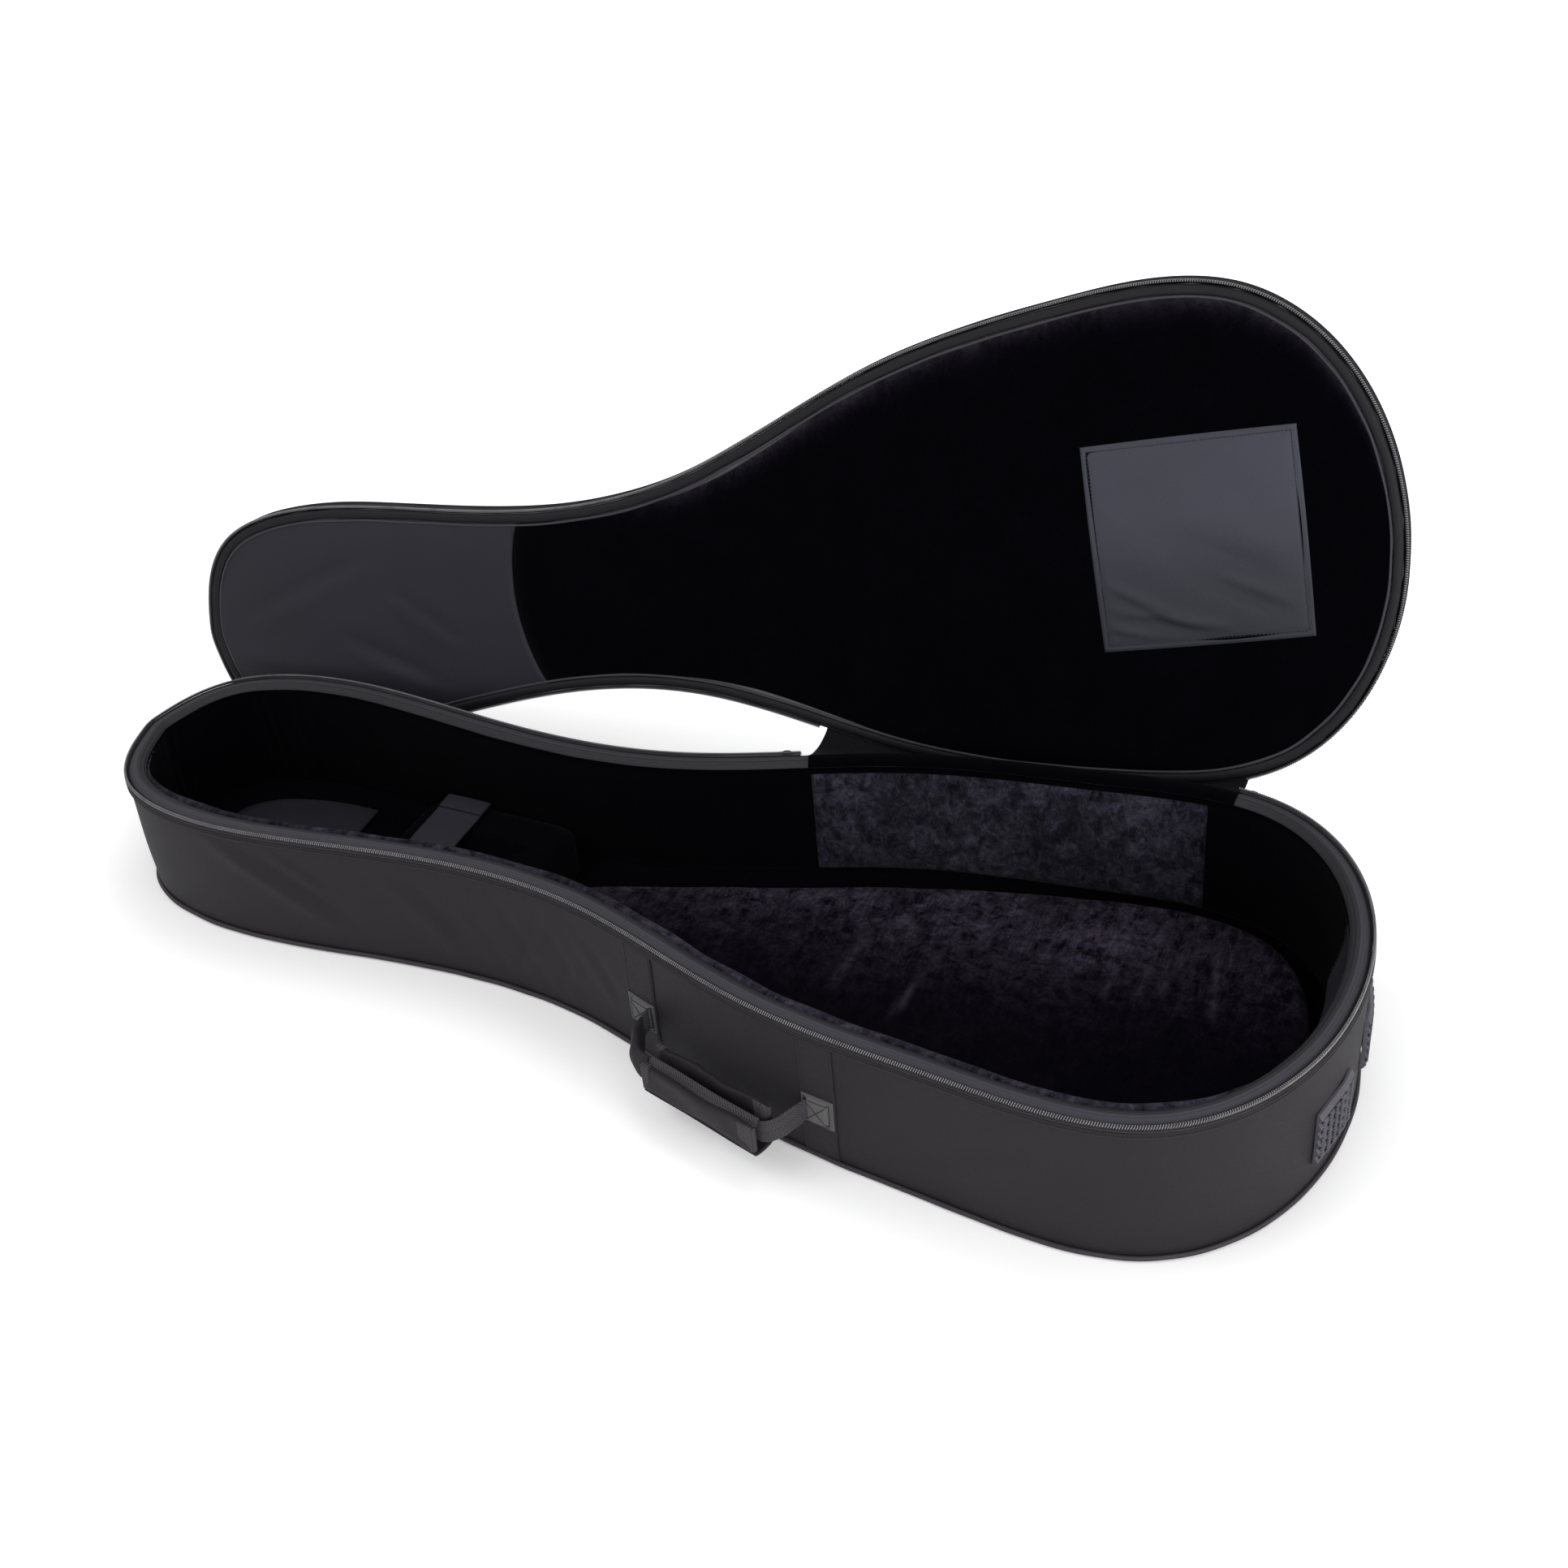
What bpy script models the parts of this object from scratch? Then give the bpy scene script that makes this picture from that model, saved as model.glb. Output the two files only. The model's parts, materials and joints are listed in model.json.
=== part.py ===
"""Acoustic bass gig bag, open, lying on its back.

A teardrop tray of foam walls in a nylon cover with a plush lining, and a lid of the same kind on a
fabric hinge along the far side. Metres, +Z up. X runs along the bag from the head end (-X) to the
butt end (+X), the hinge is on the +Y side, the carry handle on the -Y side, and the floor is z = 0.

The lid is modelled closed, on top of the case, and its empty stands turned open on the hinge axis.
Heights marked RIM are measured from the plane in which the two zipper chains meet, the others from
the floor. "out" is a distance outward from the outline; inward is negative.
"""
import math

import bmesh
import bpy
import numpy as np
from mathutils import Matrix, Vector

# The outline is a closed cubic spline. These are the control points of its +Y half, head to butt.
OUTLINE_X = (-0.636, -0.61, -0.46, -0.26, -0.06, 0.14, 0.33, 0.52, 0.64)
CASE_Y = (0.003, 0.107, 0.141, 0.105, 0.104, 0.200, 0.216, 0.245, 0.106)
LID_Y = (0.008, 0.117, 0.135, 0.093, 0.096, 0.202, 0.233, 0.252, 0.108)
PAD_X = (-0.152, -0.135, -0.06, 0.03, 0.13, 0.25, 0.36, 0.46, 0.545, 0.592)
PAD_Y = (0.004, 0.022, 0.046, 0.074, 0.113, 0.148, 0.172, 0.184, 0.160, 0.065)

RIM_HEIGHT = 0.151        # height of the chain plane at x = 0
RIM_SLOPE = 0.018         # it climbs toward the butt end
RING_STEPS = 72           # stations round a closed outline
GAP = 0.0003              # clearance between touching pieces

# Lid hinge
HINGE_X = 0.25
HINGE_Y = 0.210
HINGE_DROP = 0.027        # the axis lies below the chain plane
HINGE_TURN = math.radians(8.5)
HINGE_RISE = 0.039
OPEN_ANGLE = math.radians(108.0)
HINGE_FROM = 0.060        # x range of the fabric hinge
HINGE_TO = 0.460
FOLD_HEAD = (-0.46, 0.130, 0.155)   # the strip folds on a line from here, outside the rim,
FOLD_MEET_X = 1.0         # to where it meets the lid's axis
STRIP_X = (0.066, 0.454)
STRIP_SHARE = (0.15, 0.62)          # width of the strip, in shares of the gap from rim to lid
CHAIN_FROM = 0.050        # the zipper runs round the rest of the rim
CHAIN_TO = 0.470

# Thicknesses
SKIN = 0.0012
COVER = 0.0015
WALL = 0.0142             # side foam
BASE_FOAM_TOP = 0.0145
FLOOR_TOP = 0.0165        # top of the floor lining
PAD_TOP = 0.042
SIDE_FACE = -0.0015       # outer face of the side cover
FOAM_FACE = SIDE_FACE - COVER - GAP
LINING_FACE = FOAM_FACE - WALL - GAP
LINING = 0.0015
INNER_FACE = LINING_FACE - LINING
RIM = "rim"
FLOOR = "floor"

# Carry handle, in its own axes: along the line between its patches, out from it, and up
PATCH_X = (0.020, 0.220)
PATCH_SIZE = (0.032, 0.034)
PATCH_MIDDLE = 0.060
BAND_WIDTH = 0.035
HANDLE_OUT = 0.0115       # the swing axis stands this far off the line between the patches
HANDLE_PATH = (           # half of the webbing: along, outward and down from the axis
    (0.0930, 0.0, 0.0), (0.0905, 0.0075, 0.0020), (0.0855, 0.0180, 0.0065), (0.0770, 0.0275, 0.0095),
    (0.0660, 0.0300, 0.0100),
)
LUG_SIZE = (0.018, 0.025)
LUG_THICK = 0.0032
WEBBING = (0.025, 0.0024)
GRIP_LENGTH = 0.132
GRIP_SHIFT = 0.0100       # the grip has slid along the webbing towards the butt end
GRIP_OUT = 0.0300         # grip centre from the axis, outward and down
GRIP_DOWN = 0.0100
GRIP_HALF = 0.0110        # from the webbing to a flap's middle
FLAP = 0.0036
FLAP_FRONT = 0.030
FLAP_BACK = 0.037

# Zipper sliders and pulls
SLIDER = (0.011, 0.0085, 0.0040)
PULL_SHAPE = ((0.0012, 0.0030), (0.0060, 0.0024), (0.0110, 0.0042), (0.0300, 0.0042), (0.0330, 0.0026))
PULL_HALF = 0.0008
CHAIN_RADIUS = 0.0014
SLIDER_X = (0.037, 0.483)

# Bumpers, heights from the floor and distances out
BUMPER_Z = (0.031, 0.091)
BUMPER_Y = (0.031, 0.093)
BUMPER_RIBS = 6
BUMPER_ROOT = 0.0026
BUMPER_CREST = 0.0058

# Neck cradle and strap
CRADLE_X = (-0.345, -0.165)
CRADLE_HALF = 0.078
CRADLE_TOP = 0.060
TROUGH_RADIUS = 0.036
TROUGH_DEPTH = 0.014
STRAP_X = (-0.322, -0.272)
STRAP_HINGE_Y = 0.0516
STRAP_END_Y = -0.045
STRAP = 0.0020
HEAD_PATCH_X = -0.42
HEAD_PATCH_LONG = 0.151
HEAD_PATCH_HALF = 0.072

# Lid, heights from the chain plane
LID_FOAM = (0.0035, 0.0195)
LID_TOP = 0.0213
HEAD_SEAM_X = -0.257      # where the smooth headstock lining meets the plush
HEAD_SEAM_SAG = 0.018
LID_PATCH = ((0.3500, 0.5470), (-0.098, 0.099))
POCKET_X = (0.110, 0.470)
POCKET_Y = (-0.140, 0.140)
POCKET_DEEP = 0.0120

MATERIALS = {
    "nylon": ((0.060, 0.060, 0.070), 0.62),
    "nylon_grey": ((0.115, 0.118, 0.130), 0.50),
    "plush": ((0.016, 0.015, 0.030), 0.95),
    "foam": ((0.120, 0.120, 0.125), 0.90),
    "webbing": ((0.075, 0.075, 0.085), 0.75),
    "vinyl_grey": ((0.200, 0.200, 0.200), 0.55),
    "zip_tape": ((0.045, 0.045, 0.055), 0.80),
    "zip_teeth": ((0.150, 0.150, 0.160), 0.35),
    "hardware": ((0.030, 0.030, 0.034), 0.40),
    "rubber": ((0.030, 0.030, 0.032), 0.70),
}


def clear_scene():
    for obj in list(bpy.data.objects):
        bpy.data.objects.remove(obj, do_unlink=True)


def collection(name):
    group = bpy.data.collections.new(name)
    bpy.context.scene.collection.children.link(group)
    return group


def new_material(name, kind):
    colour, rough = MATERIALS[kind]
    made = bpy.data.materials.new(name)
    made.use_nodes = True
    shader = made.node_tree.nodes["Principled BSDF"]
    shader.inputs["Base Color"].default_value = (*colour, 1.0)
    shader.inputs["Roughness"].default_value = rough
    return made


def add_object(name, data, kind, parent=None):
    """Links a part, gives it its own material, and hangs it on a joint's empty if there is one."""
    obj = bpy.data.objects.new(name, data)
    BAG.objects.link(obj)
    obj.data.materials.append(new_material("mat_" + name, kind))
    obj.parent = parent
    return obj


def mesh_object(name, points, faces, kind, parent=None, at=None):
    """A mesh whose corners are given in world metres. "at" is where its parent's origin is."""
    shift = np.zeros(3) if at is None else np.array(at)
    form = bmesh.new()
    corners = [form.verts.new(Vector(point - shift)) for point in np.asarray(points, float)]
    for face in faces:
        form.faces.new([corners[k] for k in face])
    bmesh.ops.recalc_face_normals(form, faces=form.faces)
    data = bpy.data.meshes.new(name)
    form.to_mesh(data)
    form.free()
    return add_object(name, data, kind, parent)


def closed_control(xs, ys):
    half = np.column_stack([xs, ys])
    return np.vstack([half, (half * (1.0, -1.0))[::-1]])


def outline_at(control, station):
    """Points of the closed uniform cubic spline. Station -0.5 is the head end, 8.5 the butt end."""
    station = np.atleast_1d(np.asarray(station, float))
    first = np.floor(station).astype(int)
    t = station - first
    weights = np.stack([
        (1.0 - t) ** 3,
        3.0 * t ** 3 - 6.0 * t ** 2 + 4.0,
        -3.0 * t ** 3 + 3.0 * t ** 2 + 3.0 * t + 1.0,
        t ** 3,
    ], axis=1) / 6.0
    index = (first[:, None] + np.array([-1, 0, 1, 2])) % len(control)
    return (weights[:, :, None] * control[index]).sum(axis=1)


def outward_at(control, station):
    step = outline_at(control, np.asarray(station) + 0.01) - outline_at(control, np.asarray(station) - 0.01)
    step /= np.linalg.norm(step, axis=1, keepdims=True)
    return np.column_stack([-step[:, 1], step[:, 0]])


def middle_station(control):
    return (len(control) - 1) / 2.0


def station_at(control, value, axis=0, near=False):
    """Station on the +Y side (or the -Y side) where the outline has this x, or this y at the butt."""
    low = -0.5 if axis == 0 else middle_station(control)
    high = middle_station(control) if axis == 0 else middle_station(control) - 0.9
    for _ in range(50):
        middle = 0.5 * (low + high)
        if outline_at(control, middle)[0, axis] < value:
            low = middle
        else:
            high = middle
    return len(control) - 1 - low if near else low


def rim_height(x):
    return RIM_HEIGHT + RIM_SLOPE * x


def rise_to(points, base, height):
    """Adds the height to plan points, from the chain plane or from the floor."""
    if base == RIM:
        return np.column_stack([points, rim_height(points[:, 0]) + height])
    return np.column_stack([points, np.full(len(points), height)])


def ring_stations(control, span=None):
    """The stations all pieces share, or those inside a span with the span's own ends."""
    step = len(control) / RING_STEPS
    if span is None:
        return np.arange(RING_STEPS) * step - 0.5
    first = math.ceil((span[0] + 0.5) / step + 0.02)
    last = math.floor((span[1] + 0.5) / step - 0.02)
    inner = np.arange(first, last + 1) * step - 0.5
    return np.concatenate([[span[0]], inner, [span[1]]])


def outline_row(control, out, base, height, stations=None):
    """A line round the bag. Between the shared stations it runs straight, so facets stay parallel."""
    if stations is None:
        stations = ring_stations(control)
    step = len(control) / RING_STEPS
    place = (np.asarray(stations, float) + 0.5) / step
    whole = np.floor(place + 1e-9)
    part = (place - whole)[:, None]
    ends = []
    for shift in (0.0, 1.0):
        station = (whole + shift) * step - 0.5
        ends.append(outline_at(control, station) + outward_at(control, station) * out)
    return rise_to(ends[0] * (1.0 - part) + ends[1] * part, base, height)


def grid_faces(rows, columns, wrap_rows, wrap_columns):
    faces = []
    for i in range(rows if wrap_rows else rows - 1):
        for j in range(columns if wrap_columns else columns - 1):
            k = (i + 1) % rows
            m = (j + 1) % columns
            faces.append((i * columns + j, k * columns + j, k * columns + m, i * columns + m))
    return faces


def wall(name, control, profile, kind, span=None, parent=None, at=None):
    """Carries a closed section round the outline, or along a span of it with its ends capped.

    The section is a list of (out, base, height). Its top edges follow the sloping chain plane and
    its bottom edges the floor, so it changes along the way.
    """
    stations = ring_stations(control, span)
    rows = [outline_row(control, out, base, height, stations) for out, base, height in profile]
    grid = np.stack(rows, axis=1)
    count, corners = grid.shape[:2]
    faces = grid_faces(count, corners, span is None, True)
    if span is not None:
        faces.append(tuple(range(corners)))
        faces.append(tuple((count - 1) * corners + k for k in range(corners)))
    return mesh_object(name, grid.reshape(-1, 3), faces, kind, parent, at)


def band_profile(face, thick, low, high):
    """A flat strip: its outer face, thickness, and (base, height) of both edges."""
    return [(face, *low), (face, *high), (face - thick, *high), (face - thick, *low)]


def stack(name, rows, kind, parent=None, at=None):
    """A solid through a stack of closed lines, with the first and last one filled."""
    grid = np.stack(rows, axis=0)
    count, corners = grid.shape[:2]
    faces = grid_faces(count, corners, False, True)
    faces.append(tuple(range(corners)))
    faces.append(tuple((count - 1) * corners + k for k in range(corners)))
    return mesh_object(name, grid.reshape(-1, 3), faces, kind, parent, at)


def plate(name, control, out, base, low, high, kind, parent=None, at=None):
    rows = [outline_row(control, out, base, low), outline_row(control, out, base, high)]
    return stack(name, rows, kind, parent, at)


def rounded_rectangle(x_range, y_range, radius, steps=4):
    corners = []
    middles = ((1, 1, 0.0), (0, 1, 90.0), (0, 0, 180.0), (1, 0, 270.0))
    for right, far, turn in middles:
        cx = x_range[1] - radius if right else x_range[0] + radius
        cy = y_range[1] - radius if far else y_range[0] + radius
        for k in range(steps + 1):
            angle = math.radians(turn + 90.0 * k / steps)
            corners.append((cx + radius * math.cos(angle), cy + radius * math.sin(angle)))
    return np.array(corners)


def bead(name, points, radius, kind, closed, parent=None, at=None):
    """A round cord along a line, as a curve with a bevel depth."""
    shift = np.zeros(3) if at is None else np.array(at)
    data = bpy.data.curves.new(name, "CURVE")
    data.dimensions = "3D"
    data.bevel_depth = radius
    data.bevel_resolution = 1
    data.use_fill_caps = not closed
    spline = data.splines.new("POLY")
    spline.points.add(len(points) - 1)
    for point, corner in zip(spline.points, np.asarray(points, float) - shift):
        point.co = (*corner, 1.0)
    spline.use_cyclic_u = closed
    return add_object(name, data, kind, parent)


def box_between(name, low, high, kind, parent=None, at=None):
    low = np.array(low)
    high = np.array(high)
    flat = [(low[0], low[1]), (high[0], low[1]), (high[0], high[1]), (low[0], high[1])]
    rows = [np.column_stack([np.array(flat), np.full(4, z)]) for z in (low[2], high[2])]
    return stack(name, rows, kind, parent, at)


def joint_empty(name, at, turn=None, parent=None):
    empty = bpy.data.objects.new(name, None)
    BAG.objects.link(empty)
    empty.matrix_world = Matrix.Translation(Vector(at)) @ (turn or Matrix.Identity(4))
    if parent is not None:
        empty.parent = parent
    return empty


def cut(obj, cutter, operation):
    tool = obj.modifiers.new(operation.title(), "BOOLEAN")
    tool.operation = operation
    tool.solver = "EXACT"
    tool.object = cutter


def cutter(name, rows):
    obj = stack(name, rows, "foam")
    BAG.objects.unlink(obj)
    CUTTERS.objects.link(obj)
    obj.hide_render = True
    obj.display_type = "WIRE"
    return obj


def hinge_point(x):
    """The lid's hinge axis at this x."""
    along = (x - HINGE_X) / HINGE_AXIS[0]
    return HINGE_AT + HINGE_AXIS * along


def build_base():
    plate("back_cover", CASE, -0.0035, FLOOR, 0.0, SKIN, "nylon")
    plate("back_foam", CASE, -0.0035, FLOOR, SKIN + GAP, BASE_FOAM_TOP, "foam")
    bead("bottom_piping", outline_row(CASE, -0.0005, FLOOR, 0.0028), 0.0025, "nylon", True)
    low = BASE_FOAM_TOP + GAP
    plate("floor_lining", CASE, INNER_FACE - GAP, FLOOR, low, FLOOR_TOP, "plush")
    base = FLOOR_TOP + GAP
    rows = ((0.0, base), (0.0, PAD_TOP - 0.009), (-0.004, PAD_TOP - 0.003), (-0.014, PAD_TOP))
    stack("floor_pad", [outline_row(PAD, out, FLOOR, z) for out, z in rows], "plush")


def build_walls():
    wall("side_cover", CASE, band_profile(SIDE_FACE, COVER, (FLOOR, 0.0057), (RIM, -0.005)), "nylon")
    foam = band_profile(FOAM_FACE, WALL, (FLOOR, BASE_FOAM_TOP + GAP), (RIM, -0.006))
    last = len(CASE) - 1
    cuts = [station_at(CASE, x) for x in (-0.40, -0.02, 0.47)]
    stations = [*cuts, *[last - s for s in reversed(cuts)], cuts[0] + last + 1]
    names = ("far_neck", "far_bout", "butt", "near_bout", "near_neck", "head")
    parting = 0.001
    for name, start, stop in zip(names, stations[:-1], stations[1:]):
        wall("side_foam_" + name, CASE, foam, "foam", (start + parting, stop - parting))
    lining = band_profile(LINING_FACE, LINING, (FLOOR, BASE_FOAM_TOP + GAP), (RIM, -0.006))
    wall("side_lining", CASE, lining, "plush")
    pad = band_profile(INNER_FACE - GAP, 0.006, (FLOOR, FLOOR_TOP + GAP), (RIM, -0.0145))
    wall("far_wall_pad", CASE, pad, "plush", (station_at(CASE, 0.06), station_at(CASE, 0.445)))
    guard = band_profile(INNER_FACE - GAP, SKIN, (FLOOR, 0.030), (RIM, -0.0145))
    span = (station_at(CASE, 0.597), station_at(CASE, 0.597, near=True))
    wall("butt_guard", CASE, guard, "nylon_grey", span)


def build_rim():
    """The rolled binding over the wall, and the case's half of the zipper below its outer edge."""
    lip = INNER_FACE - 0.0006
    profile = [
        (-0.0033, RIM, -0.0055), (-0.0033, RIM, -0.0035), (-0.0080, RIM, -0.0015),
        (-0.0130, RIM, -0.0012), (-0.0180, RIM, -0.0022), (lip - 0.0012, RIM, -0.0050),
        (lip - 0.0012, RIM, -0.0140), (lip, RIM, -0.0140), (lip, RIM, -0.0055),
    ]
    wall("rim_binding", CASE, profile, "nylon_grey")
    tape = band_profile(0.0, SKIN, (RIM, -0.0140), (RIM, -0.0036))
    span = chain_span(CASE)
    wall("case_zip_tape", CASE, tape, "zip_tape", span)
    line = outline_row(CASE, -0.0008, RIM, -0.0019, ring_stations(CASE, span))
    bead("case_zip_chain", line, CHAIN_RADIUS, "zip_teeth", False)


def chain_span(control):
    """From the butt end of the hinge, round the near side and the head, to its other end."""
    return station_at(control, CHAIN_TO), station_at(control, CHAIN_FROM) + len(control)


def opened(points):
    """Where points of the closed lid are when it stands open."""
    return np.array([LID_EMPTY.matrix_world @ Vector(point - HINGE_AT) for point in points])


def build_hinge():
    """The fabric hinge: an edge sewn to the case, one sewn to the lid, and the strip between them."""
    span = (station_at(CASE, HINGE_FROM), station_at(CASE, HINGE_TO))
    wall("hinge_case_edge", CASE, band_profile(0.0, SKIN, (RIM, -0.0140), (RIM, -0.0036)), "nylon_grey", span)
    span = (station_at(LID, HINGE_FROM), station_at(LID, HINGE_TO))
    wall("hinge_lid_edge", LID, band_profile(0.0, SKIN, (RIM, 0.0036), (RIM, 0.0150)), "nylon_grey", span,
         LID_EMPTY, HINGE_AT)

    places = np.linspace(*STRIP_X, 14)
    low = outline_row(CASE, 0.0, RIM, -0.003, np.array([station_at(CASE, x) for x in places]))
    high = opened(outline_row(LID, 0.0, RIM, 0.003, np.array([station_at(LID, x) for x in places])))
    grid = np.stack([low * (1.0 - share) + high * share for share in STRIP_SHARE], axis=1)
    meet = hinge_point(FOLD_MEET_X)
    fold = meet - np.array(FOLD_HEAD)
    at = meet - fold * (meet[0] - HINGE_X) / fold[0]
    empty = joint_empty("hinge_fold_place", at)
    strip = mesh_object("hinge_strip", grid.reshape(-1, 3), grid_faces(len(grid), 2, False, False),
                        "nylon_grey", empty, at)
    thick = strip.modifiers.new("Fabric", "SOLIDIFY")
    thick.thickness = SKIN
    thick.offset = 0.0

    for name, start, stop in (("head", 0.030, 0.058), ("butt", 0.462, 0.490)):
        tab = band_profile(0.0015, SKIN, (RIM, -0.040), (RIM, -0.0142))
        tab_span = (station_at(CASE, start), station_at(CASE, stop))
        wall("hinge_tab_" + name, CASE, tab, "webbing", tab_span)


def slider(name, at, along, out, up, parent=None, origin=None):
    """A zipper slider: a domed body with a bail across its outer face."""
    length, height, depth = SLIDER
    lift = ((0.0, 1.0), (depth * 0.7, 0.9), (depth, 0.55))
    rows = []
    for rise, scale in lift:
        ring = []
        for a, b in rounded_rectangle((-length / 2, length / 2), (-height / 2, height / 2), 0.003, 2):
            ring.append(at + along * a * scale + up * b * scale + out * rise)
        rows.append(np.array(ring))
    return stack(name, rows, "hardware", parent, origin)


def pull_tab(name, at, along, out, down, parent):
    """A flat pull hanging from its pivot: a waisted tongue."""
    right = [at + along * w + down * d for d, w in PULL_SHAPE]
    left = [at - along * w + down * d for d, w in reversed(PULL_SHAPE)]
    front = np.array(right + left)
    return stack(name, [front + out * PULL_HALF, front - out * PULL_HALF], "hardware", parent, at)


def build_sliders():
    """The two zipper sliders, parked at the ends of the chain beside the hinge."""
    for name, x in zip(("head", "butt"), SLIDER_X):
        station = station_at(CASE, x)
        out = np.array([*outward_at(CASE, station)[0], 0.0])
        along = np.array([out[1], -out[0], 0.0])
        up = np.array([0.0, 0.0, 1.0])
        at = outline_row(CASE, 0.0010, RIM, -0.0058, np.array([station]))[0]
        slider("slider_" + name, at, along, out, up)
        pivot = at + out * 0.0056 - up * 0.0020
        empty = joint_empty("pull_%s_pivot" % name, pivot)
        pull_tab("pull_" + name, pivot, along, out, -up, empty)


def build_cradle():
    """The neck cradle, a block with a round trough cut along it, and its strap."""
    x_range = CRADLE_X
    line = rounded_rectangle(x_range, (-CRADLE_HALF, CRADLE_HALF), 0.022, 5)
    inner = rounded_rectangle((x_range[0] + 0.005, x_range[1] - 0.005),
                              (-CRADLE_HALF + 0.005, CRADLE_HALF - 0.005), 0.020, 5)
    rows = [
        rise_to(line, FLOOR, FLOOR_TOP + GAP),
        rise_to(line, FLOOR, CRADLE_TOP - 0.006),
        rise_to(inner, FLOOR, CRADLE_TOP),
    ]
    block = stack("cradle_block", rows, "plush")
    turns = np.radians(np.arange(0.0, 360.0, 360.0 / 40.0))
    middle = CRADLE_TOP - TROUGH_DEPTH + TROUGH_RADIUS
    ends = []
    for x in (x_range[0] - 0.01, x_range[1] + 0.01):
        across = TROUGH_RADIUS * np.cos(turns)
        height = middle + TROUGH_RADIUS * np.sin(turns)
        ends.append(np.column_stack([np.full(40, x), across, height]))
    cut(block, cutter("cut_trough", ends), "DIFFERENCE")

    top = CRADLE_TOP + GAP
    high = top + 0.0033
    box_between("strap_anchor", (STRAP_X[0], 0.0520, top), (STRAP_X[1], 0.0720, high), "webbing")
    box_between("strap_catch", (STRAP_X[0] + 0.004, -0.0700, top), (STRAP_X[1] - 0.004, -0.0330, top + 0.001),
                "webbing")
    at = (0.5 * (STRAP_X[0] + STRAP_X[1]), STRAP_HINGE_Y, high)
    empty = joint_empty("neck_strap_pivot", at)
    low_corner = (STRAP_X[0], STRAP_END_Y, high - STRAP)
    high_corner = (STRAP_X[1], STRAP_HINGE_Y - 0.0004, high)
    box_between("neck_strap", low_corner, high_corner, "webbing", empty, at)

    turns = np.radians(np.linspace(-90.0, 90.0, 21))
    power = 2.0 / 2.4
    across = np.sign(turns) * HEAD_PATCH_HALF * np.abs(np.sin(turns)) ** power
    along = HEAD_PATCH_X - HEAD_PATCH_LONG * np.cos(turns) ** power
    line = np.column_stack([along, across])
    rows = [rise_to(line, FLOOR, z) for z in (FLOOR_TOP + GAP, FLOOR_TOP + GAP + SKIN)]
    stack("head_floor_patch", rows, "nylon_grey")


def build_bumpers():
    """Two rubber pads outside the butt end, with ribs that run across."""
    low, high = BUMPER_Z
    profile = [(GAP, FLOOR, low), (GAP, FLOOR, high)]
    pitch = (high - low) / BUMPER_RIBS
    for k in reversed(range(BUMPER_RIBS)):
        profile.append((BUMPER_ROOT, FLOOR, low + (k + 0.98) * pitch))
        profile.append((BUMPER_CREST, FLOOR, low + (k + 0.50) * pitch))
        profile.append((BUMPER_ROOT, FLOOR, low + (k + 0.02) * pitch))
    far = tuple(station_at(CASE, y, axis=1) for y in reversed(BUMPER_Y))
    near = tuple(len(CASE) - 1 - s for s in reversed(far))
    wall("bumper_far", CASE, profile, "rubber", far)
    wall("bumper_near", CASE, profile, "rubber", near)


def handle_frame():
    """Middle of the swing axis, and unit vectors along it, outward and up."""
    ends = [outline_at(CASE, station_at(CASE, x, near=True))[0] for x in PATCH_X]
    along = (ends[1] - ends[0]) / np.linalg.norm(ends[1] - ends[0])
    out = np.array([along[1], -along[0]])
    middle = 0.5 * (ends[0] + ends[1]) + out * HANDLE_OUT
    return np.array([*middle, PATCH_MIDDLE]), np.array([*along, 0.0]), np.array([*out, 0.0])


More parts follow.
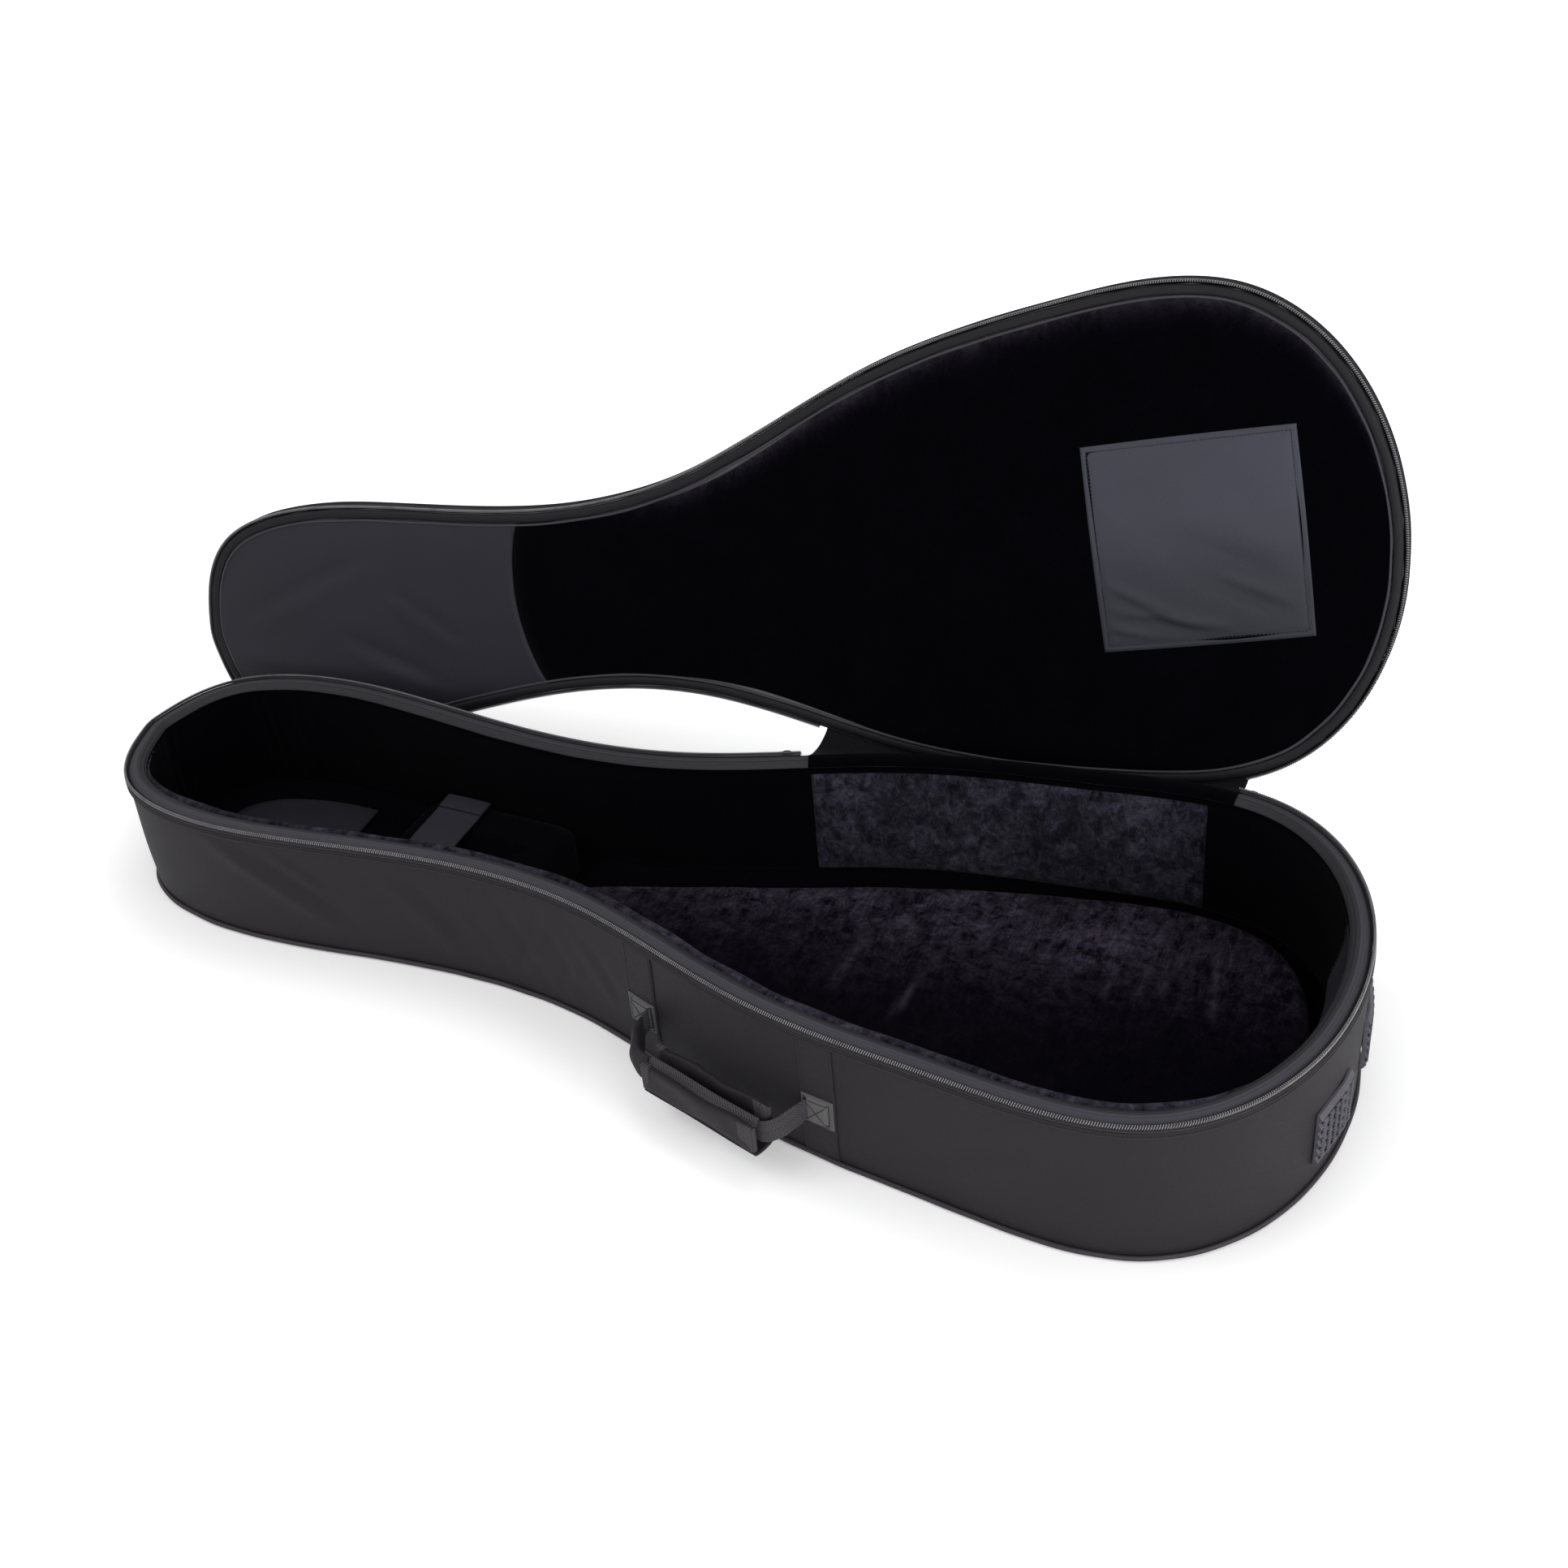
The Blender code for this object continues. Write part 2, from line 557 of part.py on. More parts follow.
def build_handle():
    """Bands, stitched patches and lugs on the wall, then the webbing with its padded grip."""
    centre, along, out = handle_frame()
    up = np.array([0.0, 0.0, 1.0])
    for name, x in zip(("head", "butt"), PATCH_X):
        half = BAND_WIDTH / 2
        span = (station_at(CASE, x + half, near=True), station_at(CASE, x - half, near=True))
        wall("band_" + name, CASE, band_profile(0.0, SKIN, (FLOOR, 0.0060), (RIM, -0.0145)), "nylon", span)
        half = PATCH_SIZE[0] / 2
        span = (station_at(CASE, x + half, near=True), station_at(CASE, x - half, near=True))
        low = PATCH_MIDDLE - PATCH_SIZE[1] / 2
        high = PATCH_MIDDLE + PATCH_SIZE[1] / 2
        wall("anchor_patch_" + name, CASE, band_profile(GAP + SKIN, SKIN, (FLOOR, low), (FLOOR, high)),
             "vinyl_grey", span)
        half = LUG_SIZE[0] / 2
        span = (station_at(CASE, x + half, near=True), station_at(CASE, x - half, near=True))
        low = PATCH_MIDDLE - LUG_SIZE[1] / 2
        lug = band_profile(GAP + SKIN + GAP + LUG_THICK, LUG_THICK, (FLOOR, low), (FLOOR, low + LUG_SIZE[1]))
        wall("handle_lug_" + name, CASE, lug, "webbing", span)

    empty = joint_empty("handle_pivot", centre)

    def spot(u, v, w):
        return centre + along * u + out * v + up * w

    path = [(-u, v, -w) for u, v, w in HANDLE_PATH]
    path.append((0.0, GRIP_OUT + 0.001, -GRIP_DOWN - 0.001))
    path.extend((u, v, -w) for u, v, w in reversed(HANDLE_PATH))
    half = up * WEBBING[0] / 2
    grid = np.array([[spot(*p) - half, spot(*p) + half] for p in path])
    strip = mesh_object("handle_webbing", grid.reshape(-1, 3), grid_faces(len(path), 2, False, False),
                        "webbing", empty, centre)
    thick = strip.modifiers.new("Webbing", "SOLIDIFY")
    thick.thickness = WEBBING[1]
    thick.offset = 0.0

    ends = (GRIP_SHIFT - GRIP_LENGTH / 2, GRIP_SHIFT + GRIP_LENGTH / 2)
    floor = -GRIP_DOWN - WEBBING[0] / 2 - 0.0035
    section = [(-GRIP_HALF - FLAP / 2, 0.0), (-GRIP_HALF * 0.7, -0.0050), (GRIP_HALF * 0.7, -0.0050),
               (GRIP_HALF + FLAP / 2, 0.0), (GRIP_HALF - FLAP / 2, 0.0), (GRIP_HALF * 0.5, -0.0016),
               (-GRIP_HALF * 0.5, -0.0016), (-GRIP_HALF + FLAP / 2, 0.0)]
    rows = [np.array([spot(u, GRIP_OUT + v, floor + w) for v, w in section]) for u in ends]
    stack("grip_spine", rows, "nylon", empty, centre)
    for name, side, tall in (("front", 1.0, FLAP_FRONT), ("back", -1.0, FLAP_BACK)):
        hinge = spot(0.0, GRIP_OUT + side * GRIP_HALF, floor + GAP + 0.0016)
        pivot = joint_empty("grip_%s_pivot" % name, hinge - centre, parent=empty)
        section = [(-FLAP / 2, 0.0), (FLAP / 2, 0.0), (FLAP / 2, tall - 0.001), (0.0, tall),
                   (-FLAP / 2, tall - 0.001)]
        rows = [np.array([hinge + along * u + out * v + up * w for v, w in section]) for u in ends]
        stack("grip_" + name, rows, "nylon", pivot, hinge)


def lid_cutter(name, shift):
    """The head end of the lid, bounded by the arched seam of the headstock lining."""
    across = np.linspace(-0.16, 0.16, 17)
    seam = HEAD_SEAM_X + HEAD_SEAM_SAG * (across / 0.088) ** 2 + shift
    line = np.vstack([np.column_stack([seam, across]), [(-0.70, 0.16), (-0.70, -0.16)]])
    rows = [rise_to(line, RIM, height) - HINGE_AT for height in (-0.004, 0.008)]
    obj = cutter(name, rows)
    obj.parent = LID_EMPTY
    return obj


def build_lid():
    """The lid, modelled closed: cover, foam, linings, lip, zipper half and patch."""
    hung = {"parent": LID_EMPTY, "at": HINGE_AT}
    inner = [(-0.0100, LID_TOP - COVER), (-0.0049, 0.0184), (-0.0030, 0.0145), (-0.0030, 0.0040)]
    outer = [(-0.0015, 0.0040), (-0.0015, 0.0155), (-0.0037, 0.0200), (-0.0095, LID_TOP)]
    stack("lid_cover", [outline_row(LID, out, RIM, w) for out, w in inner + outer], "nylon", **hung)
    foam = [(-0.0033, LID_FOAM[0]), (-0.0033, 0.0138), (-0.0054, 0.0179), (-0.0105, LID_FOAM[1])]
    stack("lid_foam", [outline_row(LID, out, RIM, w) for out, w in foam], "foam", **hung)
    plush = plate("lid_lining", LID, -0.0142, RIM, 0.0009, 0.0032, "plush", **hung)
    smooth = plate("lid_head_lining", LID, -0.0142, RIM, 0.0009, 0.0032, "nylon_grey", **hung)
    cut(plush, lid_cutter("cut_head", GAP), "DIFFERENCE")
    cut(smooth, lid_cutter("cut_body", 0.0), "INTERSECT")
    square = rounded_rectangle(*LID_PATCH, 0.008, 2)
    rows = [rise_to(square, RIM, height) for height in (-0.0006, 0.0006)]
    stack("lid_patch", rows, "nylon_grey", **hung)
    lip = [(-0.0032, RIM, 0.0031), (-0.0045, RIM, 0.0012), (-0.0085, RIM, 0.0005),
           (-0.0125, RIM, 0.0011), (-0.0138, RIM, 0.0031)]
    wall("lid_lip", LID, lip, "nylon_grey", **hung)
    span = chain_span(LID)
    wall("lid_zip_tape", LID, band_profile(0.0, SKIN, (RIM, 0.0036), (RIM, 0.0150)), "zip_tape", span, **hung)
    line = outline_row(LID, -0.0008, RIM, 0.0018, ring_stations(LID, span))
    bead("lid_zip_chain", line, CHAIN_RADIUS, "zip_teeth", False, **hung)
    bead("lid_piping", outline_row(LID, -0.0003, RIM, 0.0196), 0.0018, "nylon", True, **hung)


def build_pocket():
    """The flat accessory pocket on the outside of the lid, with a straight zipper and its slider."""
    hung = {"parent": LID_EMPTY, "at": HINGE_AT}
    low = LID_TOP + GAP
    high = low + POCKET_DEEP
    rows = []
    for inset, height in ((0.0, low), (0.0, high - 0.004), (0.0015, high - 0.001), (0.006, high)):
        line = rounded_rectangle((POCKET_X[0] + inset, POCKET_X[1] - inset),
                                 (POCKET_Y[0] + inset, POCKET_Y[1] - inset), 0.030 - inset, 4)
        rows.append(rise_to(line, RIM, height))
    stack("pocket_panel", rows, "nylon", **hung)
    line = rounded_rectangle((POCKET_X[0] - 0.002, POCKET_X[1] + 0.002),
                             (POCKET_Y[0] - 0.002, POCKET_Y[1] + 0.002), 0.032)
    bead("pocket_piping", rise_to(line, RIM, low + 0.0018), 0.0015, "nylon", True, **hung)
    y = POCKET_Y[0] + 0.030
    ends = (POCKET_X[0] + 0.030, POCKET_X[1] - 0.030)
    tape = np.array([(ends[0], y - 0.013), (ends[1], y - 0.013), (ends[1], y + 0.013), (ends[0], y + 0.013)])
    top = high + GAP
    stack("pocket_zip_tape", [rise_to(tape, RIM, top), rise_to(tape, RIM, top + SKIN)], "zip_tape", **hung)
    chain = np.array([(x, y) for x in np.linspace(ends[0] + 0.004, ends[1] - 0.004, 3)])
    chain = rise_to(chain, RIM, top + SKIN + GAP + CHAIN_RADIUS)
    bead("pocket_zip_chain", chain, CHAIN_RADIUS, "zip_teeth", False, **hung)

    along = np.array([1.0, 0.0, RIM_SLOPE])
    along /= np.linalg.norm(along)
    out = np.array([-along[2], 0.0, along[0]])
    side = np.array([0.0, 1.0, 0.0])
    seat = np.array([ends[0] + 0.012, y, rim_height(ends[0] + 0.012) + top + SKIN + 0.0035])
    empty = joint_empty("pocket_slider_place", seat - HINGE_AT, parent=LID_EMPTY)
    slider("pocket_slider", seat, along, out, side, empty, seat)
    pivot = seat + out * 0.0056 + along * 0.002
    tab = joint_empty("pocket_pull_pivot", pivot - seat, parent=empty)
    pull_tab("pocket_pull", pivot, side, out, along, tab)


clear_scene()
BAG = collection("acoustic_bass_gig_bag")
CUTTERS = collection("cutters")
CASE = closed_control(OUTLINE_X, CASE_Y)
LID = closed_control(OUTLINE_X, LID_Y)
PAD = closed_control(PAD_X, PAD_Y)
HINGE_AXIS = np.array([math.cos(HINGE_TURN), math.sin(HINGE_TURN), HINGE_RISE])
HINGE_AXIS /= np.linalg.norm(HINGE_AXIS)
HINGE_AT = np.array([HINGE_X, HINGE_Y, rim_height(HINGE_X) - HINGE_DROP])
LID_EMPTY = joint_empty("lid_hinge_place", HINGE_AT, Matrix.Rotation(-OPEN_ANGLE, 4, Vector(HINGE_AXIS)))

build_base()
build_walls()
build_rim()
build_hinge()
build_sliders()
build_cradle()
build_bumpers()
build_handle()
build_lid()
build_pocket()
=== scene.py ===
"""Acoustic bass gig bag, dressed: cloth, plush, webbing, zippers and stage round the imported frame.

Metres, in the frame's own axes: X along the bag from the head end to the butt end, the hinge on the
+Y side, the carry handle on the -Y side, Z up from the floor. The lid is worked out closed, on top
of the case, and turned open about its hinge axis at the end of each of its shapes.

A station is a place along an outline's spline. "Out" is a distance from there along the outline's
normal. A height is from the floor, or from the plane in which the two zipper chains meet.
"""
import json
import math

import bmesh
import bpy
import numpy as np
from bpy.props import FloatProperty, FloatVectorProperty, PointerProperty
from mathutils import Matrix, Vector


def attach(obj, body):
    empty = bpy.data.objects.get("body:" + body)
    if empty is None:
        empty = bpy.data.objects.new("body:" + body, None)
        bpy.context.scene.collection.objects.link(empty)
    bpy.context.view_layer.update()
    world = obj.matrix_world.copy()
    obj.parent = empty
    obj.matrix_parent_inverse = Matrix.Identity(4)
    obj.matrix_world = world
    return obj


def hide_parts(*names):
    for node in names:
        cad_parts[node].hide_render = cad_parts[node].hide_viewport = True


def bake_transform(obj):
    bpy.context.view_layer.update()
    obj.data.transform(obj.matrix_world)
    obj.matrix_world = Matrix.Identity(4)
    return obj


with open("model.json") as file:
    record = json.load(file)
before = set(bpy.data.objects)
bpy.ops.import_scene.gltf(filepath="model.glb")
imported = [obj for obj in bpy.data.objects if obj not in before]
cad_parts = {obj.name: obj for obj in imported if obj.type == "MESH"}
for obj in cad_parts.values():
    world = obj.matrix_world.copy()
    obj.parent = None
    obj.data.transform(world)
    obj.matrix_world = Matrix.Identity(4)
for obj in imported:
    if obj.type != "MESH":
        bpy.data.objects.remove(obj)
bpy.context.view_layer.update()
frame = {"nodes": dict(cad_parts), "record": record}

bl_info = {
    "name": "Acoustic bass gig bag",
    "version": (1, 0, 0),
    "blender": (4, 5, 0),
    "location": "3D View > Sidebar > Gig Bag",
    "description": "Builds the cloth, zippers, webbing and stage of an open acoustic bass gig bag",
    "category": "Object",
}

# Outline of the bag: control points of a closed cubic spline, +Y half, head to butt
OUTLINE_X = (-0.636, -0.61, -0.46, -0.26, -0.06, 0.14, 0.33, 0.52, 0.64)
CASE_Y = (0.003, 0.107, 0.141, 0.105, 0.104, 0.2, 0.216, 0.245, 0.106)
LID_Y = (0.008, 0.117, 0.135, 0.093, 0.096, 0.202, 0.233, 0.252, 0.108)
PAD_X = (-0.152, -0.135, -0.06, 0.03, 0.13, 0.25, 0.36, 0.46, 0.545, 0.592)
PAD_Y = (0.004, 0.022, 0.046, 0.074, 0.113, 0.148, 0.172, 0.184, 0.16, 0.065)

# Plane in which the zipper chains meet: its height at x = 0, and its slope along the bag
RIM_HEIGHT = 0.151
RIM_SLOPE = 0.018

# Lid hinge: a point and a direction of the axis, its span along x, and the share of the hinge
# cloth's width that its case strip takes
HINGE_AT = np.array([0.25, 0.21, 0.1285])
HINGE_AXIS = np.array([0.988265, 0.147697, 0.03897])
OPEN_ANGLE = math.radians(108.0)
HINGE_X = (0.058, 0.472)
HINGE_FOLD = 0.38
CHAIN_X = (0.47, 0.05)

# Layers of the wall, outward from the outline, and thickness of the cloth
SIDE_FACE = -0.0015
INNER_FACE = -0.0193
FLOOR_TOP = 0.0165
CLOTH = 0.0012

# Places along x of the two webbing bands and grey patches, and the patches' size and place
BANDS = (("head", 0.02), ("butt", 0.22))
PATCH_HALF = 0.0158
PATCH_Z = (0.0435, 0.0768)
LUG_HEIGHT = 0.06

# Inside the lid: arched seam of the two linings, and the square patch
LID_SEAM_X = -0.2572
LID_PATCH_X = (0.35, 0.547)
LID_PATCH_Y = (-0.098, 0.099)

# Accessory pocket outside the lid
POCKET_X = (0.11, 0.47)
POCKET_Y = (-0.14, 0.14)
POCKET_Z = (0.0216, 0.0336)

# Neck strap over the cradle
STRAP_X = (-0.322, -0.272)
STRAP_HEIGHT = 0.0636

# Photograph's camera, and the floor's own white as the camera sees it
CAMERA_AT = (0.8101, -1.3384, 1.3907)
CAMERA_YAW = math.radians(-27.614)
CAMERA_DOWN = math.radians(37.322)
CAMERA_ROLL = math.radians(5.429)
CAMERA_LENS = 48.63
FLOOR_GLOW = 0.75
FLOOR_REACH = 9.0


# Outline and grids

def closed_control(xs, ys):
    """Control points of a closed outline: the +Y half, then the same points mirrored, backwards."""
    half = np.column_stack([xs, ys])
    return np.vstack([half, (half * (1.0, -1.0))[::-1]])


CASE = closed_control(OUTLINE_X, CASE_Y)
LID = closed_control(OUTLINE_X, LID_Y)
PAD = closed_control(PAD_X, PAD_Y)


def outline(control, station):
    """Closed cubic spline: each point blends four control points by the cubic weights."""
    station = np.asarray(station, float)
    first = np.floor(station).astype(int)
    t = station - first
    weights = np.stack([
        (1.0 - t) ** 3,
        3.0 * t ** 3 - 6.0 * t ** 2 + 4.0,
        -3.0 * t ** 3 + 3.0 * t ** 2 + 3.0 * t + 1.0,
        t ** 3,
    ], axis=-1) / 6.0
    index = (first[..., None] + np.array([-1, 0, 1, 2])) % len(control)
    return (weights[..., None] * control[index]).sum(axis=-2)


def outward(control, station):
    """Unit normal of the outline: its tangent turned a quarter turn to the outside."""
    station = np.asarray(station, float)
    step = outline(control, station + 0.01) - outline(control, station - 0.01)
    step /= np.linalg.norm(step, axis=-1, keepdims=True)
    return np.stack([-step[..., 1], step[..., 0]], axis=-1)


def level_normal(control, stations):
    """The outward normal at each station as a level direction in space."""
    return at_height(outward(control, stations), 0.0)


def station_at(control, x, near=False):
    """Station where the +Y side (or the -Y side) has this x, read off a dense table."""
    last = len(control) - 1
    table = np.linspace(-0.5, last / 2.0, 4000)
    found = np.interp(x, outline(control, table)[:, 0], table)
    return last - found if near else found


def butt_station(y):
    """Station at the case's butt end, on the +Y side, that lies this far from the middle."""
    table = np.linspace(7.0, 8.5, 2000)
    return np.interp(-np.asarray(y), -outline(CASE, table)[:, 1], table)


def travelled(points):
    """Distance along a polyline at each of its points: the steps' lengths added up."""
    return np.concatenate([[0.0], np.cumsum(np.linalg.norm(np.diff(points, axis=0), axis=1))])


def even_stations(control, spacing, span=None):
    """Stations at equal arc length, their distances and the whole length, round or on a span."""
    start, stop = (-0.5, len(control) - 0.5) if span is None else span
    table = np.linspace(start, stop, 6000)
    length = travelled(outline(control, table))
    count = max(2, int(round(length[-1] / spacing)))
    along = np.linspace(0.0, length[-1], count + 1)
    stations = np.interp(along, length, table)
    if span is None:
        return stations[:-1], along[:-1], length[-1]
    return stations, along, length[-1]


def rim(x):
    """Height of the plane in which the zipper chains meet: a straight slope along the bag."""
    return RIM_HEIGHT + RIM_SLOPE * x


def at_height(flat, height):
    """Flat places with their height added as the third coordinate."""
    height = np.broadcast_to(height, flat.shape[:-1])
    return np.concatenate([flat, height[..., None]], axis=-1)


def carried(control, station, out, height, from_rim=False):
    """Outline point plus normal times "out", at a height from the floor or from the chain plane."""
    station, out, height = np.broadcast_arrays(station, out, height)
    flat = outline(control, station) + outward(control, station) * out[..., None]
    return at_height(flat, height + (rim(flat[..., 0]) if from_rim else 0.0))


def below_rim(stations, drop):
    """Height of a line on the case that runs this far under the chain plane."""
    return rim(outline(CASE, stations)[:, 0]) - drop


def rise(low, top, share):
    """Heights in shares of the way from one line to another: low plus the share of the gap."""
    low = np.broadcast_to(low, top.shape)[:, None]
    return low + (top[:, None] - low) * share


def shares(count):
    """Evenly spaced shares from 0 to 1."""
    return np.linspace(0.0, 1.0, count)


def between(first, last, share):
    """A grid ruled between two lines: one times what is left of the share, plus the other."""
    share = share[None, :, None]
    return first[:, None, :] * (1.0 - share) + last[:, None, :] * share


def scaled(boundary, middle, factors):
    """A grid of one boundary drawn in or out about a middle point, once for each factor."""
    return middle + (boundary - middle)[:, None, :] * factors[None, :, None]


def middle_line(edge, low, high):
    """For each edge point, the nearest point of the bag's middle line between two places."""
    return np.column_stack([np.clip(edge[:, 0], low, high), np.zeros(len(edge))])


def turn_matrix(angle, axis):
    """Rotation by Rodrigues' formula."""
    x, y, z = axis
    cross = np.array([[0.0, -z, y], [z, 0.0, -x], [-y, x, 0.0]])
    return np.eye(3) + math.sin(angle) * cross + (1.0 - math.cos(angle)) * cross @ cross


OPENED = turn_matrix(-OPEN_ANGLE, HINGE_AXIS / np.linalg.norm(HINGE_AXIS))


def opened(points):
    """Turns points of the closed lid to where they are when it stands open."""
    return (np.asarray(points) - HINGE_AT) @ OPENED.T + HINGE_AT


def opened_direction(vector):
    """Turns a direction on the closed lid as the open lid has it."""
    return np.asarray(vector, float) @ OPENED.T


LID_OUTSIDE = opened_direction((0.0, 0.0, 1.0))
LID_INSIDE = opened_direction((0.0, 0.0, -1.0))


def ripple(points, size, seed, waves=7):
    """Smooth noise in -1..1: a sum of sine waves of about this size in seeded directions."""
    rng = np.random.default_rng(seed)
    heading = rng.normal(size=(waves, 3))
    heading /= np.linalg.norm(heading, axis=1, keepdims=True)
    pitch = 2.0 * math.pi / (size * rng.uniform(0.7, 1.5, waves))
    phase = rng.uniform(0.0, 2.0 * math.pi, waves)
    waved = np.sin(points @ (heading * pitch[:, None]).T + phase)
    return waved.sum(axis=-1) / math.sqrt(waves) / 1.4


def bump(value, centre, width):
    """A smooth hump: the exponential of minus the squared distance over the squared width."""
    return np.exp(-((np.asarray(value) - centre) / width) ** 2)


def ease(value, low, high):
    """0 below low, 1 above high, and a smooth step between them."""
    t = np.clip((np.asarray(value) - low) / (high - low), 0.0, 1.0)
    return t * t * (3.0 - 2.0 * t)


def crease(along, height, start, stop, depth, width):
    """A fold along a straight line in the cloth: a ridge with a valley beside it."""
    start, stop = np.array(start), np.array(stop)
    run = stop - start
    length = np.linalg.norm(run)
    run = run / length
    a = (along - start[0]) * run[0] + (height - start[1]) * run[1]
    b = -(along - start[0]) * run[1] + (height - start[1]) * run[0]
    reach = ease(a, -0.25 * length, 0.25 * length) * (1.0 - ease(a, 0.7 * length, 1.15 * length))
    return depth * reach * (bump(b, 0.0, width) - 0.7 * bump(b, 1.5 * width, 0.9 * width))


def creases(along, height, folds):
    """Several folds added up, each a start, a stop, a depth and a width."""
    return sum(crease(along, height, *fold) for fold in folds)


def squared_off(wave, power):
    """A sine or cosine raised to a power with its sign kept, which squares an oval off."""
    return np.sign(wave) * np.abs(wave) ** power


def full_turn(count):
    """Angles that share a full turn evenly."""
    return np.arange(count) * 2.0 * math.pi / count


def oval(centre, radii, count):
    """A closed oval profile: the centre plus the two radii times cosine and sine."""
    turn = full_turn(count)
    return np.array(centre) + np.column_stack([radii[0] * np.cos(turn), radii[1] * np.sin(turn)])


# Meshes

def faces_mesh(name, points, faces, material):
    """A smooth shaded mesh object from corners and faces."""
    data = bpy.data.meshes.new(name)
    data.from_pydata(points.tolist(), [], faces.tolist())
    data.materials.append(MATERIALS[material])
    data.polygons.foreach_set("use_smooth", np.full(len(data.polygons), True))
    data.update()
    return linked(name, data)


def linked(name, data):
    """An object for this data, in the scene."""
    obj = bpy.data.objects.new(name, data)
    bpy.context.scene.collection.objects.link(obj)
    return obj


def grid_mesh(name, points, material, wrap_u=False, wrap_v=False, uv=None, flip=False):
    """Quads between the points of a two-parameter grid, with a UV map in metres.

    The map is either a pair, the distances along the grid's two ways, or a flat place per point.
    """
    n, m = points.shape[:2]
    i = np.arange(n if wrap_u else n - 1)[:, None]
    j = np.arange(m if wrap_v else m - 1)[None, :]
    corners = [(i, j), (i, j + 1), (i + 1, j + 1), (i + 1, j)]
    if flip:
        corners.reverse()
    faces = np.stack([(a % n) * m + (b % m) for a, b in corners], axis=-1).reshape(-1, 4)
    obj = faces_mesh(name, points.reshape(-1, 3), faces, material)
    if isinstance(uv, tuple):
        u, v = uv
        flat = [np.stack(np.broadcast_arrays(u[a], v[b]), axis=-1) for a, b in corners]
        uv_map = np.stack(flat, axis=-2)
    elif uv is not None:
        uv_map = uv.reshape(-1, 2)[faces.ravel()]
    if uv is not None:
        layer = obj.data.uv_layers.new(name="UVMap")
        layer.data.foreach_set("uv", np.ascontiguousarray(uv_map, dtype=np.float32).ravel())
    return obj


def store_rub_and_highlight(obj, values):
    """Stores for the plush materials how much paler the pile is: rubbed pile and painted highlight.
    """
    layer = obj.data.attributes.new("rub_highlight", "FLOAT", "POINT")
    layer.data.foreach_set("value", np.ascontiguousarray(values, dtype=np.float32).ravel())


def settle(obj, merge=0.0, caps=False, recalc=True):
    """Merges poles, closes open ends and turns the faces outward."""
    form = bmesh.new()
    form.from_mesh(obj.data)
    if merge:
        bmesh.ops.remove_doubles(form, verts=form.verts, dist=merge)
    if caps:
        rims = [edge for edge in form.edges if edge.is_boundary]
        bmesh.ops.holes_fill(form, edges=rims, sides=0)
    if recalc:
        bmesh.ops.recalc_face_normals(form, faces=form.faces)
    form.to_mesh(obj.data)
    form.free()
    return obj


def thicken(obj, thickness=CLOTH, offset=-1.0):
    """Gives a surface its thickness, inward from the faces unless the offset says otherwise."""
    cloth = obj.modifiers.new("Cloth thickness", "SOLIDIFY")
    cloth.thickness = thickness
    cloth.offset = offset
    return obj


def dress(obj, body, slot, *nodes):
    """Hangs a finished piece on its body, and hides the CAD nodes that it stands for."""
    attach(obj, body)
    if nodes:
        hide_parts(*nodes)
    return obj


def body_of(control):
    """The body whose outline this is."""
    return "lid" if control is LID else "case"


def sweep(name, control, span, spacing, profile, material, slot, *nodes,
          from_rim=True, wobble=0.0, seed=1):
    """Carries a closed profile round the outline, or along a span of it with its ends closed.

    The profile is an array of (out, height). The cloth's wobble moves the whole profile in and out.
    """
    stations, along, total = even_stations(control, spacing, span)
    profile = np.asarray(profile, float)
    grid = carried(control, stations[:, None], profile[:, 0], profile[:, 1], from_rim)
    if wobble:
        normal = outward(control, stations)[:, None, :]
        grid[..., :2] += normal * wobble * ripple(grid, 0.05, seed)[..., None]
    if control is LID:
        grid = opened(grid)
    v = travelled(np.vstack([profile, profile[:1]]))
    u = np.append(along, total) if span is None else along
    obj = grid_mesh(name, grid, material, span is None, True, (u, v))
    return dress(settle(obj, caps=span is not None), body_of(control), slot, *nodes)


def line_on(control, span, spacing, out, height):
    """A line round the bag with its outward direction, for stitches and teeth."""
    stations = even_stations(control, spacing, span)[0]
    points = carried(control, stations, out, height, True)
    normal = level_normal(control, stations)
    if control is LID:
        return opened(points), opened_direction(normal)
    return points, normal


def read_at(where, distance, rows):
    """Rows of three numbers known at some distances, read between them."""
    return np.column_stack([np.interp(where, distance, rows[:, k]) for k in range(3)])


def resample(line, spacing):
    """Points at equal distance along a polyline."""
    line = np.asarray(line, float)
    length = travelled(line)
    count = max(1, int(round(length[-1] / spacing)))
    return read_at(np.linspace(0.0, length[-1], count + 1), length, line)


def unit(vectors):
    """Vectors divided by their lengths."""
    return vectors / np.linalg.norm(vectors, axis=-1, keepdims=True)


def copies(name, shape, faces, centres, along, up, material):
    """One small shape repeated: its corners are turned to each place's own three directions."""
    along = unit(along)
    side = unit(np.cross(up, along))
    shape = np.asarray(shape, float)
    points = centres[:, None, :]
    for k, way in enumerate((along, side, np.cross(along, side))):
        points = points + way[:, None, :] * shape[:, k:k + 1]
    index = np.asarray(faces)[None] + (np.arange(len(centres)) * len(shape))[:, None, None]
    return faces_mesh(name, points.reshape(-1, 3), index.reshape(-1, index.shape[-1]), material)


